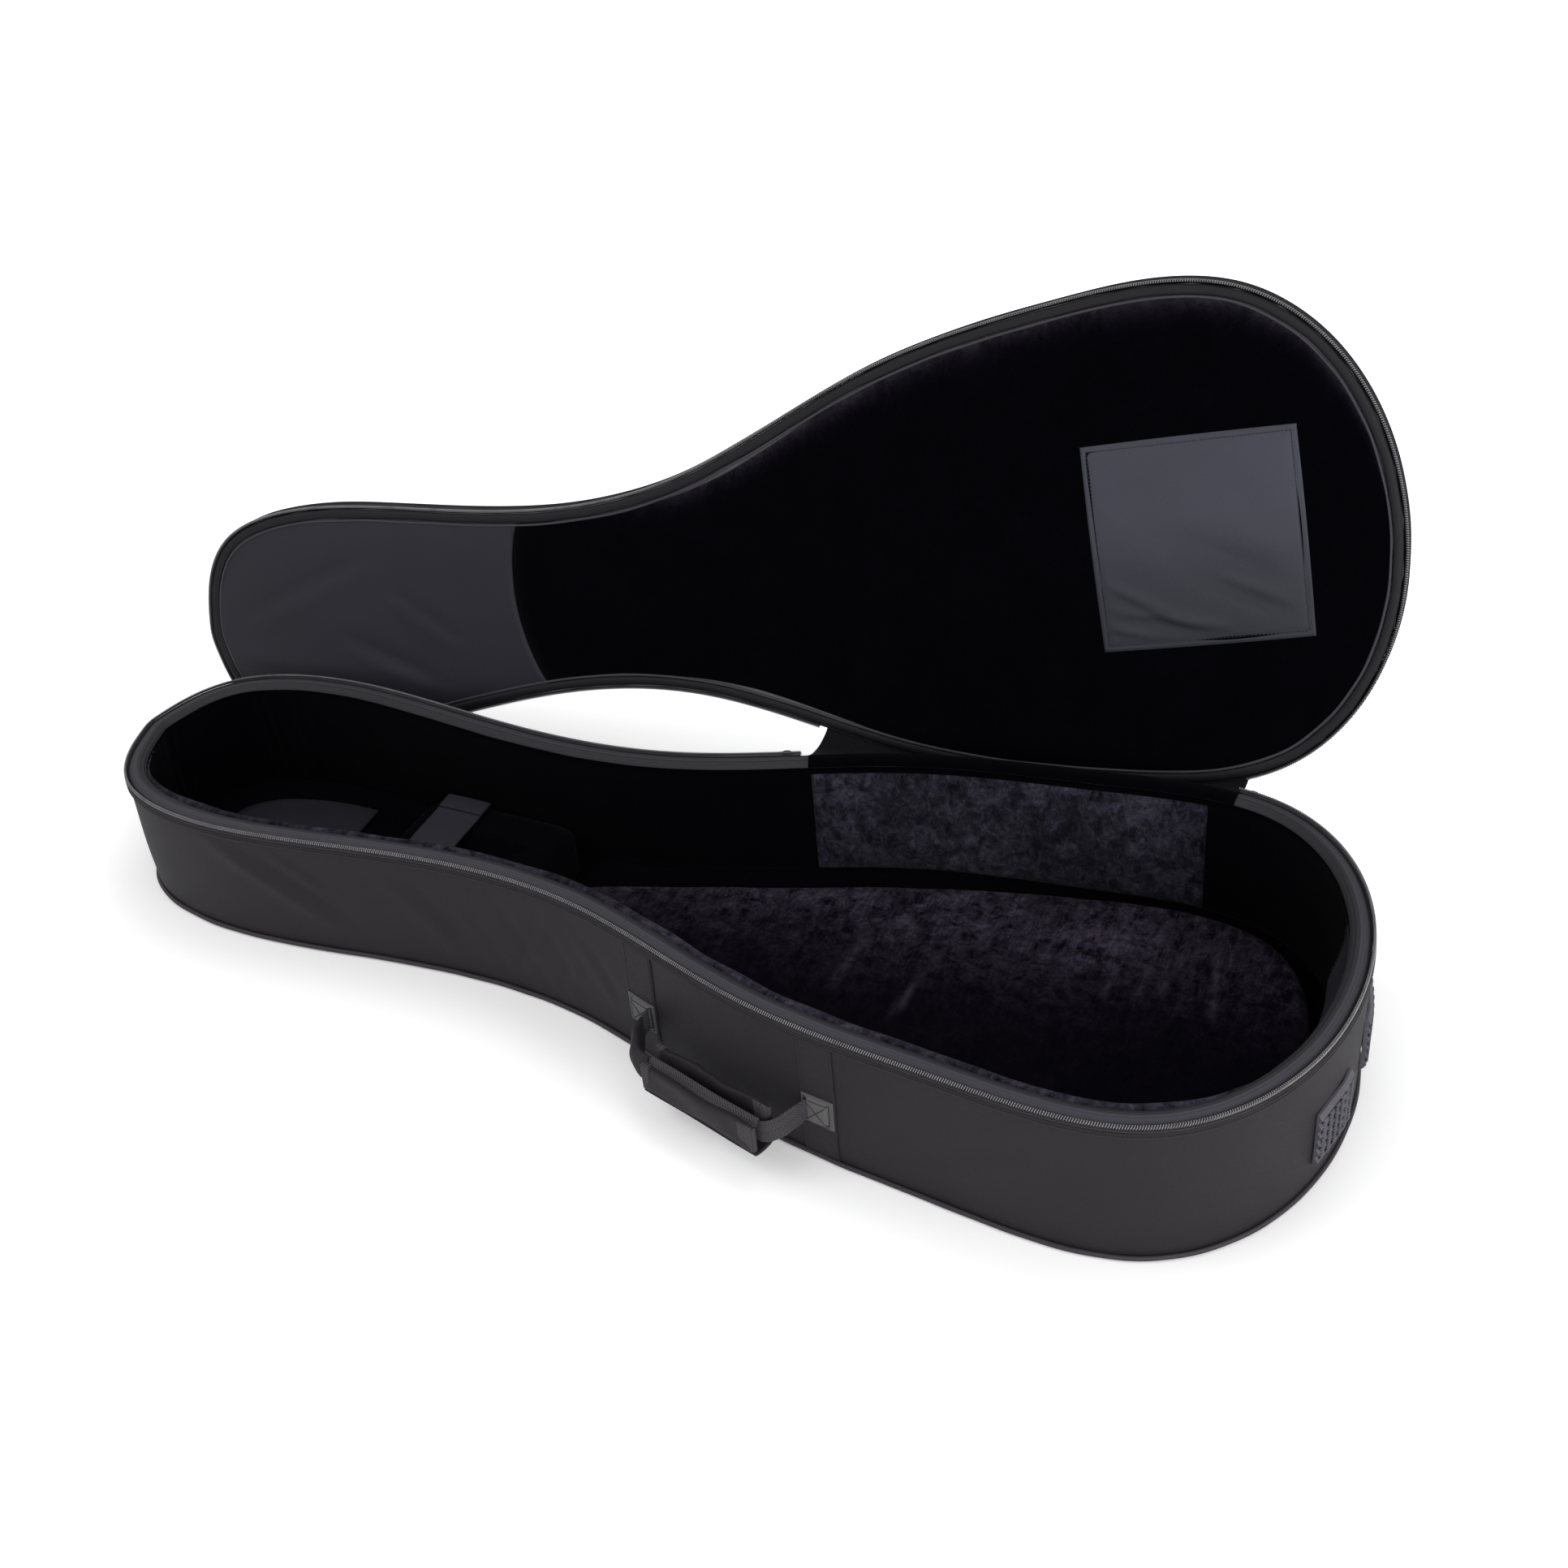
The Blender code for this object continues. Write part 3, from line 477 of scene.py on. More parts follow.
def tube_shape(path, radius, sides, shrink):
    """Corners and quads of a tube along a short path: rings of sine and cosine round each point.

    The radius shrinks by a factor per point, so that the ends are nearly shut.
    """
    path = np.asarray(path, float)
    tangent = unit(np.gradient(path, axis=0))
    first = unit(np.cross(tangent, (0.31, 0.82, 0.47)))
    second = np.cross(tangent, first)
    turns = full_turn(sides)
    ring = (first[:, None, :] * np.cos(turns)[None, :, None]
            + second[:, None, :] * np.sin(turns)[None, :, None])
    points = path[:, None, :] + ring * (radius * np.asarray(shrink))[:, None, None]
    n, m = points.shape[:2]
    i, j = np.meshgrid(np.arange(n - 1), np.arange(m), indexing="ij")
    k = (j + 1) % m
    quads = np.stack([i * m + j, i * m + k, (i + 1) * m + k, (i + 1) * m + j], axis=-1)
    return points.reshape(-1, 3), quads.reshape(-1, 4)


def thread(name, line, up, material, step, length, radius):
    """A row of stitches: short pinched threads lying along a line on the cloth."""
    up = np.broadcast_to(up, line.shape)
    distance = travelled(line)
    count = max(1, int(distance[-1] / step))
    where = (np.arange(count) + 0.5) * distance[-1] / count
    ahead = read_at(where + 0.0005, distance, line) - read_at(where - 0.0005, distance, line)
    reach = length / 2.0
    path = [(-reach, 0, -0.6 * radius), (-0.7 * reach, 0, 0.2 * radius), (0, 0, 0.4 * radius),
            (0.7 * reach, 0, 0.2 * radius), (reach, 0, -0.6 * radius)]
    shape, faces = tube_shape(path, radius, 5, (0.3, 0.9, 1.0, 0.9, 0.3))
    centres = read_at(where, distance, line)
    return copies(name, shape, faces, centres, ahead, read_at(where, distance, up), material)


def sew(name, line, up, body, slot, sizes, bold=1.0):
    """A row of dark stitches of the size that the user sets."""
    made = thread(name, line, up, "dark_thread", sizes.stitch_step, sizes.stitch_length,
                  bold * sizes.thread_radius)
    return dress(made, body, slot)


def rounded_path(x_range, y_range, radius, steps=8):
    """Corners of a rounded rectangle, anticlockwise from the middle of its right side."""
    pieces = []
    for right, far, turn in ((1, 1, 0.0), (0, 1, 90.0), (0, 0, 180.0), (1, 0, 270.0)):
        cx = x_range[1] - radius if right else x_range[0] + radius
        cy = y_range[1] - radius if far else y_range[0] + radius
        angle = np.radians(turn + np.linspace(0.0, 90.0, steps + 1))
        pieces.append(np.column_stack([cx + radius * np.cos(angle), cy + radius * np.sin(angle)]))
    return np.vstack(pieces)


def fitted(name, node, material, body, slot, width=0.0007, segments=3):
    """A copy of a CAD solid with its corners merged and its edges rounded over."""
    data = frame["nodes"][node].data.copy()
    data.name = name
    data.materials.clear()
    data.materials.append(MATERIALS[material])
    form = bmesh.new()
    form.from_mesh(data)
    bmesh.ops.remove_doubles(form, verts=form.verts, dist=1e-5)
    bmesh.ops.dissolve_limit(form, angle_limit=math.radians(1.0), verts=form.verts,
                             edges=form.edges)
    form.to_mesh(data)
    form.free()
    obj = linked(name, data)
    edge = obj.modifiers.new("Soft edges", "BEVEL")
    edge.width = width
    edge.segments = segments
    edge.limit_method = "ANGLE"
    edge.angle_limit = math.radians(20.0)
    return dress(obj, body, slot, node)


# Shader groups

class Wiring:
    """Short hand for adding and joining shader nodes in one tree."""

    def __init__(self, tree):
        self.tree = tree

    def add(self, kind, values=(), **settings):
        """A node of this kind with its settings, and its inputs linked or set."""
        node = self.tree.nodes.new(kind)
        for key, value in settings.items():
            setattr(node, key, value)
        for key, value in dict(values).items():
            self.feed(node.inputs[key], value)
        return node

    def feed(self, socket, value):
        """Links a socket to another node's output, or sets its own value."""
        if isinstance(value, bpy.types.NodeSocket):
            self.tree.links.new(value, socket)
        else:
            socket.default_value = value

    def math(self, operation, a, b=None, clamp=False):
        values = {0: a} if b is None else {0: a, 1: b}
        return self.add("ShaderNodeMath", values, operation=operation, use_clamp=clamp).outputs[0]

    def times(self, a, b, clamp=False):
        return self.math("MULTIPLY", a, b, clamp)

    def noise(self, vector, scale, detail=3.0, rough=0.5, distortion=0.0):
        values = {"Vector": vector, "Scale": scale, "Detail": detail, "Roughness": rough,
                  "Distortion": distortion}
        return self.add("ShaderNodeTexNoise", values).outputs["Fac"]

    def ramp(self, value, low, high, to_low=0.0, to_high=1.0):
        """A value carried from one range to another, and held at its ends."""
        values = {"Value": value, "From Min": low, "From Max": high, "To Min": to_low,
                  "To Max": to_high}
        return self.add("ShaderNodeMapRange", values).outputs["Result"]

    def mix(self, factor, a, b):
        """Two colours mixed by a factor."""
        return self.add("ShaderNodeMix", {0: factor, 6: a, 7: b}, data_type="RGBA").outputs[2]

    def split(self, vector):
        """The x and y of a vector."""
        apart = self.add("ShaderNodeSeparateXYZ", {"Vector": vector})
        return apart.outputs["X"], apart.outputs["Y"]

    def group(self, name, **values):
        """A shared group, placed in this tree with its own values."""
        return self.add("ShaderNodeGroup", values, node_tree=GROUPS[name]).outputs


def shader_group(name, wire, sizes, outputs):
    """A group whose outputs are what "wire" makes of its inputs: a vector, then named sizes."""
    group = bpy.data.node_groups.new(name, "ShaderNodeTree")
    group.interface.new_socket(name="Vector", in_out="INPUT", socket_type="NodeSocketVector")
    for label, value in sizes:
        socket = group.interface.new_socket(name=label, in_out="INPUT",
                                            socket_type="NodeSocketFloat")
        socket.default_value = value
    for label in outputs:
        group.interface.new_socket(name=label, in_out="OUTPUT", socket_type="NodeSocketFloat")
    w = Wiring(group)
    source = w.add("NodeGroupInput").outputs
    made = wire(w, source["Vector"], *[source[label] for label, _ in sizes])
    w.add("NodeGroupOutput", zip(outputs, made))
    return group


def wire_weave(w, place, pitch):
    """Plain weave: warp and weft ridges that pass over and under each other."""
    x, y = (w.math("DIVIDE", part, pitch) for part in w.split(place))
    warp = w.math("ABSOLUTE", w.math("SINE", w.times(x, math.pi)))
    weft = w.math("ABSOLUTE", w.math("SINE", w.times(y, math.pi)))
    column, row = w.math("FLOOR", x), w.math("FLOOR", y)
    over = w.math("FLOORED_MODULO", w.math("ADD", column, row), 2.0)
    under = w.math("SUBTRACT", 1.0, over)
    height = w.math("ADD", w.times(warp, over), w.times(weft, under))
    cell = w.add("ShaderNodeCombineXYZ", {"X": column, "Y": row})
    fleck = w.add("ShaderNodeTexWhiteNoise", {"Vector": cell.outputs[0]}, noise_dimensions="3D")
    return height, fleck.outputs["Value"]


def wire_herringbone(w, place, row_width, rib_width):
    """Herringbone: slanting ribs whose slant turns over from one row to the next."""
    x, y = w.split(place)
    row = w.math("DIVIDE", y, row_width)
    slant = w.times(w.math("PINGPONG", row, 1.0), row_width)
    phase = w.math("DIVIDE", w.math("ADD", x, slant), rib_width)
    rib = w.math("ABSOLUTE", w.math("SINE", w.times(phase, math.pi)))
    edge = w.math("ABSOLUTE", w.math("SUBTRACT", w.math("FRACT", row), 0.5))
    groove = w.ramp(edge, 0.44, 0.5)
    low = w.math("SUBTRACT", 1.0, w.times(groove, 0.5))
    return w.times(w.math("POWER", rib, 0.6), low), groove


def wire_plush(w, place, stroke):
    """Short pile: fine tufts, and wide strokes where the pile has been brushed the other way."""
    tufts = w.noise(place, 700.0, 3.0, 0.7)
    clumps = w.noise(place, 240.0, 4.0, 0.7)
    wide = w.noise(place, stroke, 9.0, 0.72, 0.5)
    streak = w.add("ShaderNodeMapping", {"Vector": place, "Scale": (150.0, 34.0, 90.0),
                                         "Rotation": (0.2, 0.1, 0.6)})
    fine = w.noise(streak.outputs[0], 1.0, 6.0, 0.7, 0.9)
    broad = w.noise(place, 9.0, 3.0, 0.55, 0.6)
    patches = w.times(w.ramp(wide, 0.4, 0.64), w.ramp(broad, 0.34, 0.62, 0.3, 0.8))
    streaks = w.times(w.ramp(fine, 0.46, 0.7), 0.38)
    brushed = w.times(w.math("ADD", patches, streaks, clamp=True),
                      w.ramp(clumps, 0.3, 0.62, 0.35, 1.15))
    return w.math("ADD", w.times(tufts, 0.5), w.times(clumps, 0.7)), brushed, tufts


def wire_handling(w, place):
    """Handling marks: faint cloudy lightening, and lint scattered as tiny pale specks."""
    cloud = w.noise(place, 7.0, 5.0, 0.6, 0.4)
    cells = w.add("ShaderNodeTexVoronoi", {"Vector": place, "Scale": 85.0}, feature="F1")
    return w.ramp(cloud, 0.35, 0.68), w.ramp(cells.outputs["Distance"], 0.055, 0.02)


# Materials

MATERIALS = {}
GROUPS = {}


UP = (0.0, 0.0, 1.0)
WHITE = (1.0, 1.0, 1.0, 1.0)
BLACK = (0.0, 0.0, 0.0, 1.0)


def shader_base(name, rough, specular, sheen=0.0, sheen_rough=0.5, metallic=0.0):
    """A new material: its wiring, its shader's inputs and the texture coordinates."""
    material = bpy.data.materials.new(name)
    material.use_nodes = True
    w = Wiring(material.node_tree)
    surface = material.node_tree.nodes["Principled BSDF"].inputs
    constants = {"Roughness": rough, "Specular IOR Level": specular, "Sheen Weight": sheen,
                 "Sheen Roughness": sheen_rough, "Metallic": metallic}
    for label, value in constants.items():
        surface[label].default_value = value
    return material, w, surface, w.add("ShaderNodeTexCoord").outputs


def bumped(w, surface, height, strength, distance):
    """Lets a pattern of heights tilt the surface's normal."""
    values = {"Height": height, "Strength": strength, "Distance": distance}
    w.feed(surface["Normal"], w.add("ShaderNodeBump", values).outputs[0])


def dim(colour, factor):
    """A colour times a factor, held at one."""
    return (*[min(1.0, c * factor) for c in colour[:3]], 1.0)


def cloth_material(name, colour, pitch, rough, specular, depth, cloud=0.35, painted_shade_band=None):
    """Woven cloth: threads from the UV map, with clouds, flecks and lint over them.

    A band, if given, paints shade over it: darker by a factor between two places across the cloth:
    (from, to, factor).
    """
    material, w, surface, place = shader_base(name, rough, specular, 0.015, 0.4)
    threads = w.group("weave", Vector=place["UV"], Pitch=pitch)
    marks = w.group("handled", Vector=place["Object"])
    # Painted shade in the hollows between the threads, painted highlight on their crests.
    shade = w.mix(threads["Height"], dim(colour, 0.72), dim(colour, 1.12))
    shade = w.mix(w.times(marks["Cloud"], cloud), shade, dim(colour, 1.45))
    shade = w.mix(w.times(marks["Lint"], 0.1), shade, dim(colour, 5.0))
    # Painted shade across the cloth.
    if painted_shade_band is not None:
        start, stop, factor = painted_shade_band
        drift = w.times(marks["Cloud"], 0.15 * (stop - start))
        across = w.math("ADD", w.split(place["UV"])[1], drift)
        shade = w.mix(w.ramp(across, start, stop, 0.0, 1.0 - factor), shade, BLACK)
    w.feed(surface["Base Color"], shade)
    gloss = w.ramp(threads["Fleck"], 0.0, 1.0, rough - 0.07, rough + 0.07)
    w.feed(surface["Roughness"], gloss)
    bumped(w, surface, threads["Height"], depth, 0.00022)
    return material


def plush_material(name, dark, light, brushed, stroke=22.0, painted_shade_span=None, sheen=0.01):
    """Plush: nearly black pile, painted paler in brushed strokes and along rubbed and creased lines.

    The brushed strokes are real brush marks with the pile's sheen painted into the colour; the
    lines that the mesh stores are rubbed pile and painted highlight along creases. A span, if
    given, is painted shade: between its two places across the bag the brushed look grows from
    nothing to full, darker towards the near wall.
    """
    material, w, surface, place = shader_base(name, 1.0, 0.0, sheen, 0.6)
    pile = w.group("plush", Vector=place["Object"], Stroke=stroke)
    # Brushed strokes: real brush marks, with their sheen painted in as a paler colour.
    amount = w.times(pile["Brushed"], brushed)
    # Painted shade: the brushed look dims towards the near wall, whose shadow falls on the cushion.
    if painted_shade_span is not None:
        x, y = w.split(place["Object"])
        lean = w.math("ADD", y, w.times(x, -0.12))
        lit = w.math("POWER", w.ramp(lean, *painted_shade_span), 2.2)
        amount = w.times(amount, w.math("ADD", w.times(lit, 0.95), 0.05))
    shade = w.mix(amount, (*dark, 1.0), (*light, 1.0))
    # Paler pile from the mesh: painted highlight along the cushion's creases, rubbed pile at the lid
    # lining's edge.
    rub_highlight = w.add("ShaderNodeAttribute", attribute_name="rub_highlight").outputs["Fac"]
    rub_and_highlight = w.times(rub_highlight, w.ramp(pile["Brushed"], 0.0, 0.5, 0.3, 1.0), clamp=True)
    shade = w.mix(rub_and_highlight, shade, (0.046, 0.041, 0.058, 1.0))
    # Painted shade deep in the pile, between the tufts.
    depth = w.ramp(pile["Tufts"], 0.35, 0.7, 0.0, 0.35)
    shade = w.mix(depth, shade, (*[c * 0.3 for c in dark], 1.0))
    w.feed(surface["Base Color"], shade)
    bumped(w, surface, pile["Height"], 0.55, 0.0009)
    return material


def webbing_material(name, colour, row, rib, rough=0.75):
    """Webbing and tape: herringbone ribs, painted nearly black between their crests as shade and
    paler on the crests as highlight.
    """
    material, w, surface, place = shader_base(name, rough, 0.22, 0.02, 0.5)
    ribs = w.group("herringbone", Vector=place["UV"], Row=row, Rib=rib)
    w.feed(surface["Base Color"], w.mix(ribs["Height"], dim(colour, 0.12), dim(colour, 1.75)))
    bumped(w, surface, ribs["Height"], 1.0, 0.0006)
    return material


def moulded_material(name, colour, rough, specular, grain, metallic=0.0):
    """Moulded or cast parts: fine grain, slightly uneven gloss and rubbed lighter patches."""
    material, w, surface, place = shader_base(name, rough, specular, metallic=metallic)
    fine = w.noise(place["Object"], grain, 3.0, 0.6)
    wide = w.noise(place["Object"], 40.0, 4.0, 0.6)
    shade = w.mix(w.ramp(wide, 0.35, 0.7), dim(colour, 0.85), dim(colour, 1.3))
    w.feed(surface["Base Color"], shade)
    w.feed(surface["Roughness"], w.ramp(wide, 0.3, 0.7, rough - 0.08, rough + 0.1))
    bumped(w, surface, fine, 0.3, 0.0002)
    return material


def build_materials(colours):
    """Every material, by a short name, and each CAD node's material by its slot."""
    GROUPS.update(
        weave=shader_group("Woven Threads", wire_weave, [("Pitch", 0.0006)], ("Height", "Fleck")),
        herringbone=shader_group("Herringbone Ribs", wire_herringbone,
                                 [("Row", 0.006), ("Rib", 0.0016)], ("Height", "Groove")),
        plush=shader_group("Plush Pile", wire_plush, [("Stroke", 22.0)],
                           ("Height", "Brushed", "Tufts")),
        handled=shader_group("Handling Marks", wire_handling, [], ("Cloud", "Lint")),
    )
    nylon, lining, trim = colours.nylon, colours.lining, colours.rim_cloth
    # Name, colour, thread pitch, roughness, specular level, relief, clouds and a band of painted
    # shade
    cloths = {
        "nylon": ("Charcoal nylon", nylon, 0.00062, 0.6, 0.26, 0.5),
        "lining": ("Blue-grey lining nylon", lining, 0.00075, 0.52, 0.24, 0.6, 0.3),
        # The patch is painted darker under its soft fold, and the rim cloth on the inner half of its
        # crown: painted shade.
        "patch": ("Lid patch nylon", colours.patch_cloth, 0.00085, 0.48, 0.28, 0.7, 0.45,
                  (0.08, 0.165, 0.55)),
        "ribbed": ("Ribbed rim cloth", trim, 0.0007, 0.55, 0.3, 0.5, 0.2, (0.0115, 0.014, 0.45)),
        "lip": ("Satin lip cloth", dim(trim, 0.22), 0.0007, 0.5, 0.2, 0.3, 0.2),
        # The piping is the outside nylon made paler: a painted highlight along the bag's bottom
        # edge.
        "piping": ("Piping cloth", dim(nylon, 1.9), 0.0007, 0.45, 0.4, 0.4, 0.2),
        "head_floor": ("Headstock floor cloth", dim(lining, 0.72), 0.00075, 0.55, 0.2, 0.6, 0.3),
        # The hinge cloth is near black: painted shade for the gap between the lid and the case.
        "hinge": ("Hinge cloth", (0.0036, 0.0033, 0.0046), 0.0008, 0.7, 0.12, 0.5, 0.3),
        "band": ("Band webbing", nylon, 0.0011, 0.66, 0.3, 0.9, 0.2),
        "vinyl": ("Grey patch cloth", colours.vinyl, 0.0008, 0.55, 0.4, 0.7, 0.3),
    }
    # Name, dark colour, brushed colour with its sheen painted in, share of it that shows, stroke
    # size, span of painted shade towards the near wall, and sheen
    piles = {
        "plush": ("Black plush", (0.0007, 0.0006, 0.0014), (0.003, 0.0026, 0.0058), 0.25),
        # The cushion: brushed plush with painted sheen, and painted shade towards the near wall.
        "brushed": ("Brushed plush", (0.0012, 0.0008, 0.0024), (0.062, 0.05, 0.079), 1.0,
                    66.0, (-0.095, 0.055), 0.012),
        # A brighter copy of the brushed plush, for the far panel and the near wall's roll: painted
        # light where they catch the front light.
        "brushed_wall": ("Brushed wall plush", (0.004, 0.0035, 0.0064), (0.064, 0.059, 0.087),
                         1.0, 62.0, None, 0.026),
    }
    # Name, colour, width of a row, width of a rib and roughness
    ribbed = {
        "webbing": ("Herringbone webbing", colours.webbing, 0.0084, 0.003),
        "tape": ("Zipper tape", colours.tape, 0.003, 0.0012, 0.7),
    }
    # Name, colour, roughness, specular level, grain and metal
    moulded = {
        # The coil's pale colour is painted highlight on its loops.
        "coil": ("Zipper coil", colours.coil, 0.3, 0.5, 900.0),
        "thread": ("Sewing thread", colours.thread, 0.6, 0.4, 2500.0),
        "dark_thread": ("Dark thread", (0.012, 0.012, 0.015), 0.6, 0.3, 2500.0),
        "hardware": ("Dark zipper metal", colours.hardware, 0.36, 0.5, 500.0, 0.6),
        "rubber": ("Ribbed rubber", colours.rubber, 0.6, 0.4, 700.0),
        "foam": ("Foam sheet", (0.1, 0.1, 0.105), 0.9, 0.2, 350.0),
    }
    for make, table in ((cloth_material, cloths), (plush_material, piles),
                        (webbing_material, ribbed), (moulded_material, moulded)):
        MATERIALS.update({key: make(*values) for key, values in table.items()})
    other_names = {"nylon_grey": "lining", "vinyl_grey": "vinyl", "zip_tape": "tape",
                   "zip_teeth": "coil"}
    for part in frame["record"]["subparts"]:
        node = frame["nodes"].get(part["node"])
        if node is not None:
            slot = part["material_slot"]
            node.data.materials.clear()
            node.data.materials.append(MATERIALS[other_names.get(slot, slot)])


# Case

# Slack folds, each with its start and stop as places on the cloth, its depth and its width
SIDE_FOLDS = (
    ((-0.47, 0.12), (-0.33, 0.03), 0.0034, 0.011),
    ((-0.4, 0.118), (-0.345, 0.08), 0.0015, 0.006),
    ((-0.275, 0.105), (-0.205, 0.03), 0.0022, 0.013),
    ((-0.13, 0.03), (-0.09, 0.11), 0.0024, 0.0075),
    ((-0.085, 0.012), (-0.06, 0.07), 0.002, 0.0065),
    ((-0.055, 0.1), (-0.02, 0.04), 0.0016, 0.008),
    ((0.3, 0.02), (0.42, 0.09), 0.0009, 0.012),
)
FAR_PANEL_FOLDS = (
    ((0.27, 0.14), (0.325, 0.03), 0.0042, 0.01),
    ((0.19, 0.135), (0.215, 0.04), 0.0022, 0.009),
    ((0.35, 0.13), (0.4, 0.04), 0.0034, 0.009),
    ((0.11, 0.11), (0.125, 0.04), 0.0015, 0.008),
)


def side_out(station, height):
    """How far the side cloth stands from the outline.

    It is drawn in at the bottom piping and at the zipper tape and fills out between them, waves a
    little between the foam seams, and has slack folds where the neck side curves in.
    """
    points = carried(CASE, station, 0.0, height)
    x, y = points[..., 0], points[..., 1]
    share = np.clip((height - 0.004) / (rim(x) - 0.01), 0.0, 1.0)
    full = 4.0 * share * (1.0 - share)
    out = SIDE_FACE - 0.0004 + 0.0013 * full ** 0.6
    out = out + full * (0.0005 * ripple(points, 0.09, 11) + 0.0006 * ripple(points, 0.2, 13))
    near = ease(-y, 0.0, 0.05)
    out = out + near * full * creases(x, height, SIDE_FOLDS)
    waist = bump(x, -0.12, 0.1)
    return out + 0.0007 * waist * full * ripple(points, 0.028, 12)


def build_case_sides(sizes):
    """The side cloth between the bottom piping and the zipper, the piping and its stitches."""
    stations, along, total = even_stations(CASE, 0.0036)
    share = shares(34)
    s, z = stations[:, None], rise(0.005, below_rim(stations, 0.005), share)
    grid = carried(CASE, s, side_out(s, z), z)
    skin = grid_mesh("case_side_cloth", grid, "nylon", True,
                     uv=(np.append(along, total), share * 0.15))
    dress(thicken(skin), "case", "nylon", "side_cover")

    cord = oval((-0.0006, 0.0029), (0.0026, 0.0026), 10)
    # The bottom piping is the paler nylon: painted highlight.
    sweep("case_bottom_piping", CASE, None, 0.004, cord, "piping", "nylon", "bottom_piping",
          from_rim=False, wobble=0.00035, seed=3)
    s = even_stations(CASE, 0.004)[0]
    line = carried(CASE, s, side_out(s, 0.0078) + 0.0001, 0.0078)
    up = level_normal(CASE, s)
    sew("case_bottom_stitches", np.vstack([line, line[:1]]), np.vstack([up, up[:1]]), "case",
        "nylon", sizes)


def spine_disc(name, control, spacing, rows, out, height, material, lift, flip=False):
    """A filled outline: each edge point runs in to the nearest point of the bag's middle line.

    "lift" adds height from the place and from the share of the way in.
    """
    lid = control is LID
    edge = carried(control, even_stations(control, spacing)[0], out, 0.0)[:, :2]
    middle = middle_line(edge, edge[:, 0].min() + 0.085, edge[:, 0].max() - 0.17)
    share = shares(rows) ** 1.35
    flat = between(edge, middle, share)
    z = height + (rim(flat[..., 0]) if lid else 0.0) + lift(at_height(flat, 0.0), share)
    grid = at_height(flat, z)
    obj = grid_mesh(name, opened(grid) if lid else grid, material, True, uv=flat, flip=flip)
    return settle(obj, merge=0.0004, recalc=False)


def build_case_base():
    """The underside, a stiff skin drawn up at its edge, and the waving plush floor."""
    def underside(points, share):
        return 0.0004 * (1.0 - ease(share, 0.0, 0.05))

    def floor_waves(points, share):
        return 0.0006 * ripple(points, 0.07, 21) + 0.0016 * (1.0 - ease(share, 0.0, 0.035))

    skin = spine_disc("case_back_cloth", CASE, 0.008, 26, -0.0034, 0.0, "nylon", underside, True)
    dress(thicken(skin, 0.0011), "case", "nylon", "back_cover")
    floor = spine_disc("case_floor_plush", CASE, 0.007, 30, INNER_FACE - 0.0004,
                       FLOOR_TOP - 0.0004, "plush", floor_waves)
    dress(thicken(floor), "case", "plush", "floor_lining")


def wall_in(station, height):
    """How far in the plush wall lies: full below the rim, gathered at the tight head end."""
    points = carried(CASE, station, 0.0, height)
    x, y = points[..., 0], points[..., 1]
    share = np.clip((height - FLOOR_TOP) / (rim(x) - 0.008 - FLOOR_TOP), 0.0, 1.0)
    full = 4.0 * share * (1.0 - share)
    out = INNER_FACE + 0.0006 - 0.001 * full ** 0.5 - 0.0006 * full * ripple(points, 0.06, 31)
    head = ease(-x, 0.47, 0.6)
    pleats = np.abs(np.sin(np.asarray(station) * 27.0 + 2.2 * share)) ** 3
    out = out - 0.0034 * head * pleats * (0.45 + 0.55 * full)
    out = out - 0.003 * bump(x, -0.556, 0.006) * ease(y, 0.0, 0.05) * ease(share, 0.15, 0.5)
    out = out - 0.0013 * ease(share, 0.9, 1.0)
    return out - 0.0011 * bump(share, 0.93, 0.035)


def build_case_lining():
    """The plush wall all round, and the roll along the near wall's upper edge in the brighter plush
    copy that paints light on it.
    """
    stations, along, total = even_stations(CASE, 0.004)
    share = shares(28)
    s, z = stations[:, None], rise(0.015, below_rim(stations, 0.0062), share)
    wall = grid_mesh("case_wall_plush", carried(CASE, s, wall_in(s, z), z), "plush", True,
                     uv=(np.append(along, total), share * 0.13), flip=True)
    dress(thicken(wall), "case", "plush", "side_lining")

    span = (station_at(CASE, 0.618, near=True), station_at(CASE, -0.628, near=True))
    s, along, total = even_stations(CASE, 0.0045, span)
    turn = np.arange(15) * 2.0 * math.pi / 14
    full = (ease(along, 0.0, 0.16) * (1.0 - ease(along, total - 0.16, total)))[:, None]
    out = -0.0195 - 0.0066 * full + (0.0016 + 0.005 * full) * np.cos(turn)
    z = -0.0106 + (0.0016 + 0.0026 * full) * np.sin(turn)
    grid = carried(CASE, s[:, None], out, z, True)
    grid[..., :2] += outward(CASE, s)[:, None, :] * (0.0011 * ripple(grid, 0.05, 18))[..., None]
    # The roll is in the brighter plush copy: painted highlight.
    hem = grid_mesh("near_wall_hem", grid[:, :-1], "brushed_wall", False, True,
                    (along, turn * 0.0055))
    dress(settle(hem, caps=True), "case", "plush")


